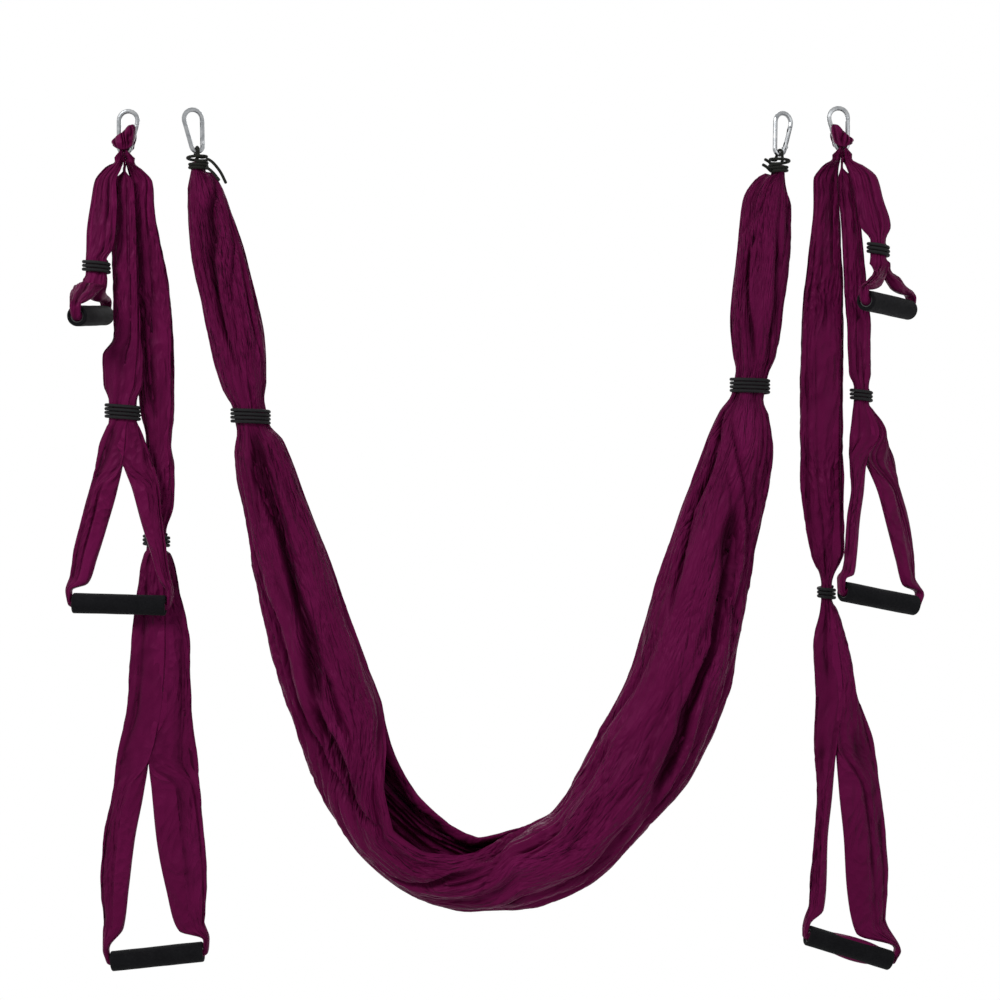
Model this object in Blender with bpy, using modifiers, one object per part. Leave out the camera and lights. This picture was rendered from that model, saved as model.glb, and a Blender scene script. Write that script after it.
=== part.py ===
"""Aerial yoga swing: a wide fabric hammock on two snap hooks, and beside it two sets of three
fabric hand and foot loops with foam grips, each set on one snap hook.

Units are metres, +Z is up, +X runs from the left set to the right one and -Y is the front.
The origin is the seat of the left hammock hook, where it hangs on its ceiling hook.
"""

import math

import bpy
import bmesh
from mathutils import Matrix, Vector

MM = 0.001
COLLECTION = "yoga_swing"

# Snap hook, a pear-shaped bent rod
ROD_D = 7 * MM
HOOK_LENGTH = 70 * MM
HOOK_TOP_W = 35 * MM
HOOK_FOOT_W = 24 * MM
LUG_RISE = 5 * MM
NOSE_DROP = 6 * MM
TONGUE_T = 3 * MM
GATE_D = 7 * MM
FORK_CLEARANCE = 0.4 * MM
PIVOT_D = 2.6 * MM
PIVOT_CLEARANCE = 0.3 * MM
RIVET_HEAD_D = 5 * MM
RIVET_HEAD_T = 1.2 * MM
LATCH_PIN_D = 1.8 * MM

# Where the four hooks hang: seat x, seat z, lean of the lower end towards +X, turn about Z
HAMMOCK_SPAN = 888 * MM
LEFT_SET_SPACE = 94 * MM
RIGHT_SET_SPACE = 80 * MM
HAMMOCK_LEFT = (0.0, 0.0, 8.8, 24.0)
HAMMOCK_RIGHT = (HAMMOCK_SPAN, -5.5 * MM, -9.0, 28.0)
SET_LEFT = (-LEFT_SET_SPACE, -2.5 * MM, -7.8, 0.0)
SET_RIGHT = (HAMMOCK_SPAN + RIGHT_SET_SPACE, 2 * MM, 7.8, 0.0)

# Handles
GRIP_LENGTH = 140 * MM
GRIP_D = 31 * MM
GRIP_EDGE_R = 2.5 * MM
TUBE_D = 20 * MM
TUBE_WALL = 1.5 * MM
TUBE_INSET = 2 * MM
FOAM_GAP = 0.3 * MM
CORE_CLEARANCE = 0.6 * MM

# Cloth and cords
GROOVE = 0.60
CLOTH_GAP = 0.45 * MM
CLOTH_T = 6 * MM
PLAIN_HALF_W = 14.5 * MM
CROTCH_RISE = 5 * MM
ROW_STEP = 6 * MM
BAND_MARGIN = 1.5 * MM
STRAND_LIFT = 3 * MM
SHOULDER_DROP = 14 * MM
SHOULDER_DEPTH = 11.5 * MM
BAND_CORD_D = 5 * MM
BAND_STEP = 5.6 * MM
BAND_POINTS = 10
BAND_GAP = 0.4 * MM
ROPE_D = 4.5 * MM
ROPE_STEP = 5.2 * MM
ROPE_GAP = 0.85 * MM
ROPE_POINTS = 12
NECK_R = 10 * MM
WHIP_SPREAD = 2.6 * MM
WHIP_POINTS = 15
NECK_WHIP_START = -30
LEG_WHIP_START = 75
LEG_WHIP_TOP = 2.8 * MM

# Each strap: the point it hangs from is the middle of its hook's foot bend. Across is along X from
# there and drop is downwards, both in mm. A body row is drop, left edge, right edge, middle y and
# half depth; a band is the same row with its turns and tilt. The split is where it parts in two:
# drop, middle x and y, half width along the grip, half depth and how far the parting is off the
# middle. A strand row is its place along the grip from the grip's middle, how much of the way from
# the split to the grip's top it has come down, width and half depth.
# The neck is the stretch over the hook: left edge, right edge and crest above the bend.
LEFT_SHORT = {
    "neck": (-4.6, -1.9, 11.5), "shoulder": (-15, -1.9), "yaw": 83, "tilt": 5, "grip": (-46, 246),
    "body": [
        (24, -26, -3, -10, 6.5), (45, -42, -10, -15, 7), (75, -47, -8, -19, 7.5),
        (125, -53, -10, -23, 8), (152, -53.5, -16, -24, 8.5), "band", (189, -58, -21, -24, 12),
    ],
    "band": (172.7, -54.2, -22.2, -24, 9, 3, 2),
    "split": (200, -41, -24, 17, 20, 0),
    "left": [(-28, 0.298, 28, 19), (-48, 0.565, 22, 18), (-66, 0.804, 16, 13)],
    "right": [(27, 0.467, 24, 15), (47, 0.608, 18, 14), (65, 0.701, 13, 11)],
}
LEFT_MEDIUM = {
    "neck": (-1.5, 1.5, 9.5), "shoulder": (-1.5, 1.5), "yaw": 0, "tilt": -1.5, "grip": (-8.1, 676.8),
    "body": [
        (26, -1.6, 1.6, 0, 4.5), (42, -18, 14, 0, 5), (140, -21, 20, 0, 7), (220, -18, 23, 0, 7),
        (275, -18, 25.5, 0, 7), (303, -34, 29, 0, 7.5), (349, -32.6, 27.4, 0, 8),
        "band", (410, -28, 23, 0, 9), (437, -38.6, 33.4, 0, 8),
    ],
    "band": (388, -25, 19, 0, 9, 4, 2),
    "split": (466, 0, 0, 45, 8, -2.6),
    "left": [(-23, 0.179, 42, 8), (-51, 0.714, 38, 8), (-61, 0.914, 30, 8)],
    "right": [(39.6, 0.175, 42, 8), (49, 0.433, 34, 8), (60, 0.701, 24, 8), (69, 0.896, 19, 8)],
}
LEFT_LONG = {
    "neck": (1.9, 4.6, 11.5), "shoulder": (1.9, 15), "yaw": 0, "tilt": 6, "grip": (45.4, 1210),
    "body": [
        (24, 3, 26, 10, 6.5), (42, 6, 40, 16, 7), (75, -1, 41.5, 19, 8), (155, -4, 56, 23, 9),
        (240, 2, 69.4, 24, 9), (373, 17, 72.4, 24, 9), (440, 27.4, 67, 24, 8),
        (526, 24.4, 70.9, 24, 8.5), "band", (601, 24.4, 67.9, 24, 9), (660, 12.4, 81.4, 24, 8.5),
        (826, -1.1, 97, 24, 8),
    ],
    "band": (581.5, 28.4, 59.4, 24, 8, 3, 0),
    "split": (916, 45.8, 24, 61.7, 8, -13.9),
    "left": [(-43.5, 0.138, 48, 8), (-58.2, 0.403, 49, 8), (-64.9, 0.668, 44, 8), (-66.8, 0.88, 32, 8)],
    "right": [(27.8, 0.145, 74, 8), (35.3, 0.425, 74, 8), (44.3, 0.705, 63, 8), (53, 0.928, 42, 8)],
}
RIGHT_SHORT = {
    "neck": (1.9, 4.6, 11.5), "shoulder": (1.9, 15), "yaw": 53, "tilt": -2, "grip": (64.3, 234.8),
    "body": [
        (24, 4, 30, -10, 6.5), (42, 10, 50, -15, 7), (118, 23.8, 70.3, -23, 8), "band",
        (172, 36, 69, -24, 9),
    ],
    "band": (151.5, 38.4, 62.4, -24, 9, 3, 7),
    "split": (184, 57, -24, 29, 9, 0),
    "left": [(-34, 0.502, 24, 10), (-52, 0.77, 18, 10), (-66, 0.904, 12, 10)],
    "right": [(26, 0.461, 26, 10), (50, 0.691, 16, 10), (66, 0.777, 11, 10)],
}
RIGHT_MEDIUM = {
    "neck": (-1.5, 1.5, 9.5), "shoulder": (-1.5, 1.5), "yaw": 30, "tilt": -10, "grip": (56, 672.8),
    "body": [
        (26, -1.6, 1.6, 0, 4.5), (42, -6, 18, 0, 5), (120, -1, 30, 0, 6), (260, 5.8, 44.8, 0, 7.5),
        (335, 8.8, 44.8, 0, 8), "band", (390, 14.8, 49.3, 0, 9), (426, 10.3, 68.8, 0, 8.5),
    ],
    "band": (367.5, 17, 41, 0, 8.5, 3, 3),
    "split": (459, 45.4, 0, 42, 8, -12.8),
    "left": [(-42.4, 0.268, 24, 8), (-55.4, 0.797, 23, 8), (-60, 0.945, 22, 8)],
    "right": [(19, 0.246, 42, 8), (36.4, 0.496, 42, 8), (50, 0.738, 36, 8), (58, 0.911, 26, 8)],
}
RIGHT_LONG = {
    "neck": (-4.6, -1.9, 11.5), "shoulder": (-15, -1.9), "yaw": 12, "tilt": -18.4, "grip": (14, 1201.5),
    "body": [
        (24, -28, -3, 10, 6.5), (42, -40.7, -3, 16, 7), (163, -49.7, 4.3, 23, 9),
        (255, -60.2, 7.3, 24, 9), (360, -61.7, 5.8, 24, 9),
        (487, -60.2, 7.3, 24, 9), (601, -45.2, 8.8, 24, 8.5), "band", (690, -31, -3, 24, 8.5),
        (744, -40.7, 14.8, 24, 8.5), (811, -37.7, 26.8, 24, 8),
    ],
    "band": (665, -28.7, -10.7, 24, 8, 3, 0),
    "split": (890, 7.8, 24, 47, 8, -14.3),
    "left": [(-39, 0.277, 26, 8), (-45, 0.554, 22, 8), (-49, 0.775, 27, 8), (-53, 0.923, 26, 8)],
    "right": [(17, 0.222, 66, 8), (26, 0.46, 68, 8), (30, 0.673, 68, 8), (36, 0.889, 52, 8)],
}

# The hammock's path from the left hook to the right one, in mm: across and drop from the nearer
# hook's foot bend, width seen from the front, depth, and how far the inner side opens into a trough
HAMMOCK_LEFT_ROWS = [
    (4, 34, 32, 26, 0), (9, 52, 51, 34, 0), (18.4, 95, 67, 42, 0), (57.4, 268, 85, 52, 0),
    (70.9, 352, 68, 42, 0), "band", (92, 445, 80, 44, 0), (155, 673, 126, 80, 0),
    (195.4, 808, 135, 100, 0.1), (240.4, 931, 131, 120, 0.4), (288.4, 1010, 127, 132, 0.8),
    (356, 1066, 123, 140, 1), (425, 1086, 114, 145, 1),
]
HAMMOCK_RIGHT_ROWS = [
    (-378.5, 1071, 120, 145, 1), (-309.5, 1040.6, 120, 140, 0.9), (-249.5, 972.6, 128, 132, 0.5),
    (-192, 887.6, 150, 120, 0.2), (-150, 788.6, 153, 105, 0), (-90, 552.6, 125, 78, 0),
    (-60.5, 442.6, 105, 60, 0), (-52, 390, 78, 44, 0), "band", (-38, 302, 66, 40, 0),
    (-34, 240, 81, 50, 0), (-18.5, 75, 76, 44, 0), (-11.5, 48, 56, 36, 0), (-5, 35, 34, 26, 0),
]
HAMMOCK_LEFT_BAND = (80.4, 397, 50, 32, 0)
HAMMOCK_RIGHT_BAND = (-44.5, 346, 50, 32, 0)
HAMMOCK_BAND_TURNS = 4
NECK_TOP = 15 * MM
NECK_LENGTH = 13 * MM
NECK_ACROSS = 2 * MM
CAP_RISE = 1.5 * MM
LEFT_ARM_HEADING = Vector((0.2, 0, -0.98))
RIGHT_ARM_HEADING = Vector((0.18, 0, 0.98))

# The hammock's section: points round it, how far a fold cuts in, and its trough: how much wider it
# is, how far it moves in, its half angle and how deep it dips, in shares of the half width
SECTION_POINTS = 20
FOLD_DEPTH = 0.13
TROUGH_WIDEN = 0.25
TROUGH_MOVE = 0.2
TROUGH_HALF_ANGLE = math.radians(55)
TROUGH_DIP = 1.55

HALF_TURN = math.pi
FULL_TURN = 2 * math.pi


def clear_scene():
    for obj in list(bpy.data.objects):
        bpy.data.objects.remove(obj, do_unlink=True)


def new_collection(name):
    made = bpy.data.collections.new(name)
    bpy.context.scene.collection.children.link(made)
    return made


def material(name, colour, roughness, metallic=0.0):
    made = bpy.data.materials.new(name)
    made.use_nodes = True
    shader = made.node_tree.nodes["Principled BSDF"]
    shader.inputs["Base Color"].default_value = (*colour, 1)
    shader.inputs["Roughness"].default_value = roughness
    shader.inputs["Metallic"].default_value = metallic
    return made


def place(obj, collection, stuff=None):
    for old in list(obj.users_collection):
        old.objects.unlink(obj)
    collection.objects.link(obj)
    if stuff:
        obj.data.materials.clear()
        obj.data.materials.append(stuff)
    return obj


def smooth(obj, angle=40):
    obj.data.shade_smooth()
    obj.data.set_sharp_from_angle(angle=math.radians(angle))
    return obj


def mesh_object(name, mesh):
    """An object on a bmesh, with its faces turned outwards."""
    bmesh.ops.recalc_face_normals(mesh, faces=mesh.faces)
    data = bpy.data.meshes.new(name)
    mesh.to_mesh(data)
    mesh.free()
    return bpy.data.objects.new(name, data)


def bridge(mesh, first, second):
    """Side faces between two rings of as many vertices."""
    count = len(first)
    for i in range(count):
        j = (i + 1) % count
        mesh.faces.new((first[i], first[j], second[j], second[i]))


def cap(mesh, ring, tip):
    """A pointed end over a ring."""
    top = mesh.verts.new(tip)
    for i, vertex in enumerate(ring):
        mesh.faces.new((vertex, ring[(i + 1) % len(ring)], top))


def tube(name, points, diameter, collection, stuff, sides=4):
    """A cord, wire or rod along its points, as one closed tube."""
    curve = bpy.data.curves.new(name, "CURVE")
    curve.dimensions = "3D"
    curve.bevel_depth = diameter / 2
    curve.bevel_resolution = (sides - 4) // 2
    curve.use_fill_caps = True
    spline = curve.splines.new("POLY")
    spline.points.add(len(points) - 1)
    for point, at in zip(spline.points, points):
        point.co = (*at, 1)
    return place(bpy.data.objects.new(name, curve), collection, stuff)


def meshed(obj):
    """The same object with its curve made a mesh, its caps welded on."""
    graph = bpy.context.evaluated_depsgraph_get()
    data = bpy.data.meshes.new_from_object(obj.evaluated_get(graph))
    mesh = bmesh.new()
    mesh.from_mesh(data)
    bmesh.ops.remove_doubles(mesh, verts=mesh.verts, dist=0.01 * MM)
    mesh.to_mesh(data)
    mesh.free()
    name = obj.name
    made = bpy.data.objects.new(name, data)
    made.matrix_world = obj.matrix_world
    collection = obj.users_collection[0]
    bpy.data.objects.remove(obj, do_unlink=True)
    made.name = name
    return place(made, collection)


def cutter(obj, cutters):
    obj.hide_render = True
    obj.display_type = "WIRE"
    return place(obj, cutters)


def boolean(obj, other, operation="DIFFERENCE"):
    modifier = obj.modifiers.new(other.name, "BOOLEAN")
    modifier.operation = operation
    modifier.object = other
    modifier.solver = "EXACT"


def box(name, size, location, turn=0.0):
    """A box in a hook's own plane, turned about the hook's Y axis."""
    bpy.ops.mesh.primitive_cube_add(size=1)
    obj = bpy.context.object
    obj.name = name
    obj.data.transform(Matrix.Diagonal((*size, 1)))
    obj.matrix_world = Matrix.Translation(location) @ Matrix.Rotation(turn, 4, "Y")
    return obj


def rod(name, diameter, length, location, axis="Y", turn=0.0, sides=16):
    """A cylinder along Y, or along Z and then turned about Y."""
    bpy.ops.mesh.primitive_cylinder_add(vertices=sides, radius=diameter / 2, depth=length)
    obj = bpy.context.object
    obj.name = name
    if axis == "Y":
        obj.data.transform(Matrix.Rotation(math.pi / 2, 4, "X"))
    obj.matrix_world = Matrix.Translation(location) @ Matrix.Rotation(turn, 4, "Y")
    return obj


class Hook:
    """The outline of one snap hook, in its own plane: x across, z up, seat at the origin."""

    top_r = HOOK_TOP_W / 2 - ROD_D / 2
    foot_r = HOOK_FOOT_W / 2 - ROD_D / 2
    top_centre = Vector((0, 0, -(top_r - ROD_D / 2)))
    foot_centre = Vector((0, 0, -(HOOK_LENGTH - ROD_D - HOOK_FOOT_W / 2)))
    apart = (top_centre - foot_centre).length
    taper = math.asin((top_r - foot_r) / apart)

    def __init__(self, where):
        seat_x, seat_z, lean, turn = where
        self.matrix = (
            Matrix.Translation((seat_x, 0, seat_z))
            @ Matrix.Rotation(math.radians(turn), 4, "Z")
            @ Matrix.Rotation(math.radians(-lean), 4, "Y")
        )
        self.turn = math.radians(turn)
        self.hanger = self.matrix @ self.foot_centre - Vector((0, 0, self.foot_r))

    @classmethod
    def on(cls, centre, radius, angle):
        return centre + radius * Vector((math.cos(angle), 0, math.sin(angle)))

    @classmethod
    def gate_ends(cls):
        """The ends of the straight side that the gate closes: the foot's, then the top's."""
        side = -cls.taper
        return cls.on(cls.foot_centre, cls.foot_r, side), cls.on(cls.top_centre, cls.top_r, side)

    @classmethod
    def outline(cls):
        foot, top = cls.gate_ends()
        along = (top - foot).normalized()
        over, under = 10, 9
        top_sweep = HALF_TURN + 2 * cls.taper
        foot_sweep = HALF_TURN - 2 * cls.taper
        points = [top - along * NOSE_DROP]
        points += [
            cls.on(cls.top_centre, cls.top_r, -cls.taper + top_sweep * i / over)
            for i in range(over + 1)
        ]
        points += [
            cls.on(cls.foot_centre, cls.foot_r, HALF_TURN + cls.taper + foot_sweep * i / under)
            for i in range(under + 1)
        ]
        return points + [foot + along * LUG_RISE]


def tongue_cutters(name, at, turn, length, cutters):
    """Two boxes that leave only a flat tongue at the end of a rod."""
    side = ROD_D
    made = []
    for sign in (-1, 1):
        centre = Vector(at) + Vector((0, sign * (TONGUE_T / 2 + side / 2), 0))
        block = box(f"{name}_{'front' if sign < 0 else 'back'}", (2 * ROD_D, side, length), centre, turn)
        made.append(cutter(block, cutters))
    return made


def build_hook(name, hook, parts, cutters, steel):
    """The frame, gate and rivet of one hook; returns the gate's pivot in the world."""
    foot, top = Hook.gate_ends()
    along = (top - foot).normalized()
    turn = math.atan2(along.x, along.z)
    pivot = foot + along * LUG_RISE
    nose_end = top - along * NOSE_DROP

    frame = meshed(tube(f"{name}_frame", Hook.outline(), ROD_D, parts, steel, sides=10))
    eye = rod(f"{name}_lug", ROD_D, TONGUE_T, pivot, sides=12)
    cutter(eye, cutters)
    reach = ROD_D + 2 * FORK_CLEARANCE
    shaping = tongue_cutters(f"{name}_lug_side", pivot, turn, reach, cutters)
    shaping += tongue_cutters(f"{name}_nose_side", nose_end, turn, reach, cutters)
    bore = cutter(rod(f"{name}_lug_bore", PIVOT_D + 2 * PIVOT_CLEARANCE, ROD_D, pivot), cutters)
    inward = Vector((-along.z, 0, along.x))
    latch = nose_end + along * (LATCH_PIN_D * 0.9) + inward * (ROD_D / 2 - LATCH_PIN_D * 0.7)
    notch_d = LATCH_PIN_D + 2 * FORK_CLEARANCE
    notch = cutter(rod(f"{name}_notch", notch_d, ROD_D, latch, sides=12), cutters)
    for block in shaping:
        boolean(frame, block)
    boolean(frame, eye, "UNION")
    boolean(frame, bore)
    boolean(frame, notch)

    slot_t = TONGUE_T + 2 * FORK_CLEARANCE
    fork_depth = ROD_D + FORK_CLEARANCE
    gate_top = top - along * (ROD_D / 2 + FORK_CLEARANCE)
    gate_foot = pivot - along * (GATE_D / 2 - FORK_CLEARANCE)
    middle = (gate_top + gate_foot) / 2
    gate_length = (gate_top - gate_foot).length
    gate = rod(f"{name}_gate", GATE_D, gate_length, middle, axis="Z", turn=turn, sides=12)
    place(gate, parts, steel)
    slots = [
        box(f"{name}_fork_slot", (2 * GATE_D, slot_t, 2 * fork_depth), pivot, turn),
        box(f"{name}_nose_slot", (2 * GATE_D, slot_t, 2 * fork_depth), gate_top, turn),
        rod(f"{name}_gate_bore", PIVOT_D + 2 * PIVOT_CLEARANCE, 2 * GATE_D, pivot),
    ]
    for slot in slots:
        boolean(gate, cutter(slot, cutters))
    pin = cutter(rod(f"{name}_latch_pin", LATCH_PIN_D, GATE_D * 0.7, latch, sides=8), cutters)
    boolean(gate, pin, "UNION")

    rivet_length = GATE_D + 2 * FORK_CLEARANCE + RIVET_HEAD_T
    rivet = rod(f"{name}_rivet", PIVOT_D, rivet_length, pivot, sides=10)
    place(rivet, parts, steel)
    for sign in (-1, 1):
        offset = sign * (GATE_D / 2 + FORK_CLEARANCE + RIVET_HEAD_T / 2)
        head = rod(f"{name}_rivet_head_{'front' if sign < 0 else 'back'}", RIVET_HEAD_D,
                   RIVET_HEAD_T, pivot + Vector((0, offset, 0)), sides=12)
        boolean(rivet, cutter(head, cutters), "UNION")

    for obj in [frame, gate, rivet, eye, bore, notch, pin, *shaping, *slots]:
        obj.matrix_world = hook.matrix @ obj.matrix_world
    for modifier in rivet.modifiers:
        modifier.object.matrix_world = hook.matrix @ modifier.object.matrix_world
    for obj in (frame, gate, rivet):
        smooth(obj)
    return hook.matrix @ pivot


def least_gap(points, diameter):
    """The least gap of a cord to itself, between stretches more than a few diameters apart."""
    points = [Vector(point) for point in points]
    along = [0.0]
    for a, b in zip(points, points[1:]):
        along.append(along[-1] + (b - a).length)
    least = math.inf
    middles = [(a + b) / 2 for a, b in zip(points, points[1:])]
    places = list(zip(points, along)) + [
        (middle, (along[i] + along[i + 1]) / 2) for i, middle in enumerate(middles)
    ]
    for i, (a, s) in enumerate(places):
        for b, t in places[i + 1:]:
            if abs(t - s) > 3.5 * diameter:
                least = min(least, (a - b).length)
    return least - diameter


def turned(name, profile, matrix, parts, stuff, steps):
    """A closed profile of (radius, along) points, turned about the matrix's Z axis."""
    data = bpy.data.meshes.new(name)
    count = len(profile)
    edges = [(i, (i + 1) % count) for i in range(count)]
    data.from_pydata([(radius, 0, along) for radius, along in profile], edges, [])
    obj = place(bpy.data.objects.new(name, data), parts, stuff)
    obj.matrix_world = matrix
    screw = obj.modifiers.new("Screw", "SCREW")
    screw.axis = "Z"
    screw.steps = steps
    screw.render_steps = steps
    screw.use_merge_vertices = True
    screw.merge_threshold = 0.01 * MM
    screw.use_smooth_shade = False
    return obj


def ring_profile(outer, bore, length, edge, edge_steps):
    """A tube's cut face, with rounded outer edges; it runs down its outer side."""
    half = length / 2
    arc = [90 * i / edge_steps for i in range(edge_steps + 1)]
    top = [
        (outer - edge + edge * math.sin(math.radians(a)), half - edge + edge * math.cos(math.radians(a)))
        for a in arc
    ]
    foot = [(radius, -along) for radius, along in reversed(top)]
    return [(bore, half), *top, *foot, (bore, -half)]


def grip_matrix(strap, hanger):
    across, drop = strap["grip"]
    middle = hanger + Vector((across, strap["split"][2], -drop)) * MM
    yaw = Matrix.Rotation(math.radians(strap["yaw"]), 4, "Z")
    tilt = Matrix.Rotation(math.radians(90 - strap["tilt"]), 4, "Y")
    return Matrix.Translation(middle) @ yaw @ tilt


def build_handle(name, matrix, parts, foam, plastic):
    bore = TUBE_D / 2 + FOAM_GAP
    grip = turned(f"{name}_grip", ring_profile(GRIP_D / 2, bore, GRIP_LENGTH, GRIP_EDGE_R, 2),
                  matrix, parts, foam, 20)
    tube_profile = ring_profile(TUBE_D / 2, TUBE_D / 2 - TUBE_WALL, GRIP_LENGTH - 2 * TUBE_INSET,
                                TUBE_WALL / 3, 1)
    core = turned(f"{name}_handle_tube", tube_profile, matrix, parts, plastic, 20)
    return grip, core


def winding(centre, half_w, half_d, turns, step, points, start=0.0, sense=1):
    """Points of a cord wound about the vertical through centre, from the top down."""
    stretch = 1 / math.cos(HALF_TURN / points)
    count = round(abs(turns) * points)
    made = []
    for i in range(count + 1):
        angle = start + sense * FULL_TURN * i / points
        made.append(centre + Vector((
            stretch * half_w * math.cos(angle),
            stretch * half_d * math.sin(angle),
            (turns / 2 - i / points) * step,
        )))
    return made


def build_band(name, centre, half_w, half_d, turns, lean, parts, stuff):
    """Elastic cord wound round a gathered strap, its ends straight for one diameter."""
    reach = BAND_GAP + BAND_CORD_D / 2
    points = winding(Vector(), half_w + reach, half_d + reach, turns, BAND_STEP, BAND_POINTS,
                     start=math.radians(60))
    first = points[0] + (points[0] - points[1]).normalized() * BAND_CORD_D
    last = points[-1] + (points[-1] - points[-2]).normalized() * BAND_CORD_D
    points = [centre + lean @ point for point in [first, *points, last]]
    print(f"{name}: least gap to itself {least_gap(points, BAND_CORD_D) / MM:.2f} mm")
    return tube(name, points, BAND_CORD_D, parts, stuff)


def body_ring(mesh, hanger, row, twist):
    """Twelve points round a strap; 0 is its right edge, 3 the front, 6 the left edge, 9 the back."""
    drop, left, right, y, depth = row
    made = []
    for k in range(12):
        angle = twist - k * HALF_TURN / 6
        fold = GROOVE if k % 2 == 0 and k % 6 else 1
        x = (left + right) / 2 + (right - left) / 2 * math.cos(angle) * (1 + fold) / 2
        at = Vector((x, y + depth * math.sin(angle) * fold, -drop)) * MM
        made.append(mesh.verts.new(hanger + at))
    return made


def split_ring(mesh, hanger, split, yaw):
    """The same twelve points where a strap parts, round an ellipse turned to its grip."""
    drop, x, y, half_w, half_d, aside = split
    turn = Matrix.Rotation(yaw, 3, "Z")
    made = []
    for k in range(12):
        angle = -k * HALF_TURN / 6
        fold = GROOVE if k % 2 == 0 and k % 6 and half_w * MM > 2 * PLAIN_HALF_W else 1
        along = half_w * math.cos(angle) * (1 + fold) / 2 + aside * abs(math.sin(angle))
        at = Vector((x, y, -drop)) + turn @ Vector((along, half_d * math.sin(angle) * fold, 0))
        made.append(mesh.verts.new(hanger + at * MM))
    return made


def seam(mesh, start, end, rise):
    """Three points across a ring, where it parts in two."""
    made = []
    for part in (0.25, 0.5, 0.75):
        at = start.co.lerp(end.co, part) + Vector((0, 0, rise * math.sin(HALF_TURN * part)))
        made.append(mesh.verts.new(at))
    return made


HALF_RING_ANGLES = [math.radians(a) for a in (0, 30, 60, 90, 120, 150, 180, 225, 270, 315)]
HALF_RING_FOLDS = [1, GROOVE, 1, 1, 1, GROOVE, 1, 0.8, 1, 0.8]

# The stations over a hook: angle from the crest, front first, and share of the shoulder's width
NECK_STATIONS = [
    (150, 1), (105, 0.5), (60, 0), (20, 0), (-20, 0), (-60, 0), (-105, 0.5), (-150, 1),
]
NECK_STEP = math.radians(45)

# The turn into a grip's end: mm out from the end, mm above the axis, half width, half depth, heading
END_STATIONS = [
    (6.2, GRIP_D / 2 / MM + 3, 5.2, 9.5, -90), (5, 6, 4.4, 8, -90), (3.2, -0.5, 4.4, 7.2, -135),
]


def neck_rings(mesh, hanger, strap):
    """The stretch over the hook's foot bend, from the front leg over the top to the back leg."""
    left, right, crest = strap["neck"]
    wide_left, wide_right = strap["shoulder"]
    foot_r = Hook.foot_r - ROD_D / 2
    far = max(abs(left), abs(right)) * MM
    rise = Hook.foot_r - math.sqrt(foot_r ** 2 - min(far, 0.97 * foot_r) ** 2)
    inner = (max(rise, ROD_D / 2) + CLOTH_GAP) / math.cos(NECK_STEP / 2)
    made = []
    for angle, widening in NECK_STATIONS:
        turn = math.radians(angle)
        upper = max(0.0, math.cos(turn))
        edge_left = (left + (wide_left - left) * widening) * MM
        edge_right = (right + (wide_right - right) * widening) * MM
        outer = inner + CLOTH_T + (crest * MM - inner - CLOTH_T) * upper
        middle, half_w = (edge_left + edge_right) / 2, (edge_right - edge_left) / 2
        radius, half_t = (inner + outer) / 2, (outer - inner) / 2
        ring = []
        for a in HALF_RING_ANGLES:
            x = middle + half_w * math.cos(a)
            r = radius + half_t * math.sin(a)
            at = Vector((x, -r * math.sin(turn), r * math.cos(turn)))
            ring.append(mesh.verts.new(hanger + at))
        made.append(ring)
    return made


def stirrup_rings(mesh, strap, matrix):
    """The two strands and the stretch through the handle, down the left and up the right."""
    half = GRIP_LENGTH / 2
    core = TUBE_D / 2 - TUBE_WALL - CORE_CLEARANCE
    tilt = math.radians(strap["tilt"])
    fall = (strap["grip"][1] - strap["split"][0]) * MM

    def strand(rows, side):
        top = side * half * math.sin(tilt) + GRIP_D / 2 + STRAND_LIFT
        return [(u * MM, fall - (fall - top) * part, w * MM / 2, b * MM, None) for u, part, w, b in rows]

    stations = strand(strap["left"], -1)
    ends = [
        (half + out * MM, up * MM, a * MM, b * MM, heading) for out, up, a, b, heading in END_STATIONS
    ]
    ends.append((half - 2 * TUBE_INSET, 0, core, core, -180))
    for side in (-1, 1):
        row = []
        for along, up, a, b, heading in ends:
            along *= side
            angle = math.radians(heading) if side > 0 else HALF_TURN - math.radians(heading)
            u = along * math.cos(tilt) - up * math.sin(tilt)
            z = along * math.sin(tilt) + up * math.cos(tilt)
            row.append((u, z, a, b, angle + tilt))
        if side < 0:
            stations += row
        else:
            stations += [(u, z, a, b, angle + HALF_TURN) for u, z, a, b, angle in reversed(row)]
    stations += reversed(strand(strap["right"], 1))
    yaw = Matrix.Rotation(math.radians(strap["yaw"]), 3, "Z")
    made = []
    for i, (u, z, a, b, angle) in enumerate(stations):
        if angle is None:
            before, after = stations[max(i - 1, 0)], stations[min(i + 1, len(stations) - 1)]
            angle = math.atan2(after[1] - before[1], after[0] - before[0])
        out = Vector((math.sin(angle), 0, -math.cos(angle)))
        ring = []
        folded = a > PLAIN_HALF_W
        for k, around in enumerate(HALF_RING_ANGLES):
            fold = HALF_RING_FOLDS[k] if folded else 1
            at = Vector((u, 0, z)) + out * a * math.sin(around)
            at += Vector((0, -1, 0)) * b * fold * math.cos(around)
            ring.append(mesh.verts.new(matrix.translation + yaw @ at))
        made.append(ring)
    return made


def strap_rows(strap):
    """The body's rows, the band's own row above and below its cord, and the others clear of it."""
    drop, left, right, y, depth, turns, tilt = strap["band"]
    reach = ((turns * BAND_STEP + BAND_CORD_D) / 2 + BAND_MARGIN) / MM
    reach += (right - left) / 2 * math.sin(math.radians(abs(tilt)))
    place_of_band = strap["body"].index("band")
    made = []
    for i, row in enumerate(strap["body"]):
        apart = reach + ROW_STEP / MM * abs(i - place_of_band)
        if i < place_of_band:
            made.append((min(row[0], drop - apart), *row[1:]))
        elif i > place_of_band:
            made.append((max(row[0], drop + apart), *row[1:]))
        else:
            made.append((drop - reach, left, right, y, depth))
            made.append((drop + reach, left, right, y, depth))
    return made


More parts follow.
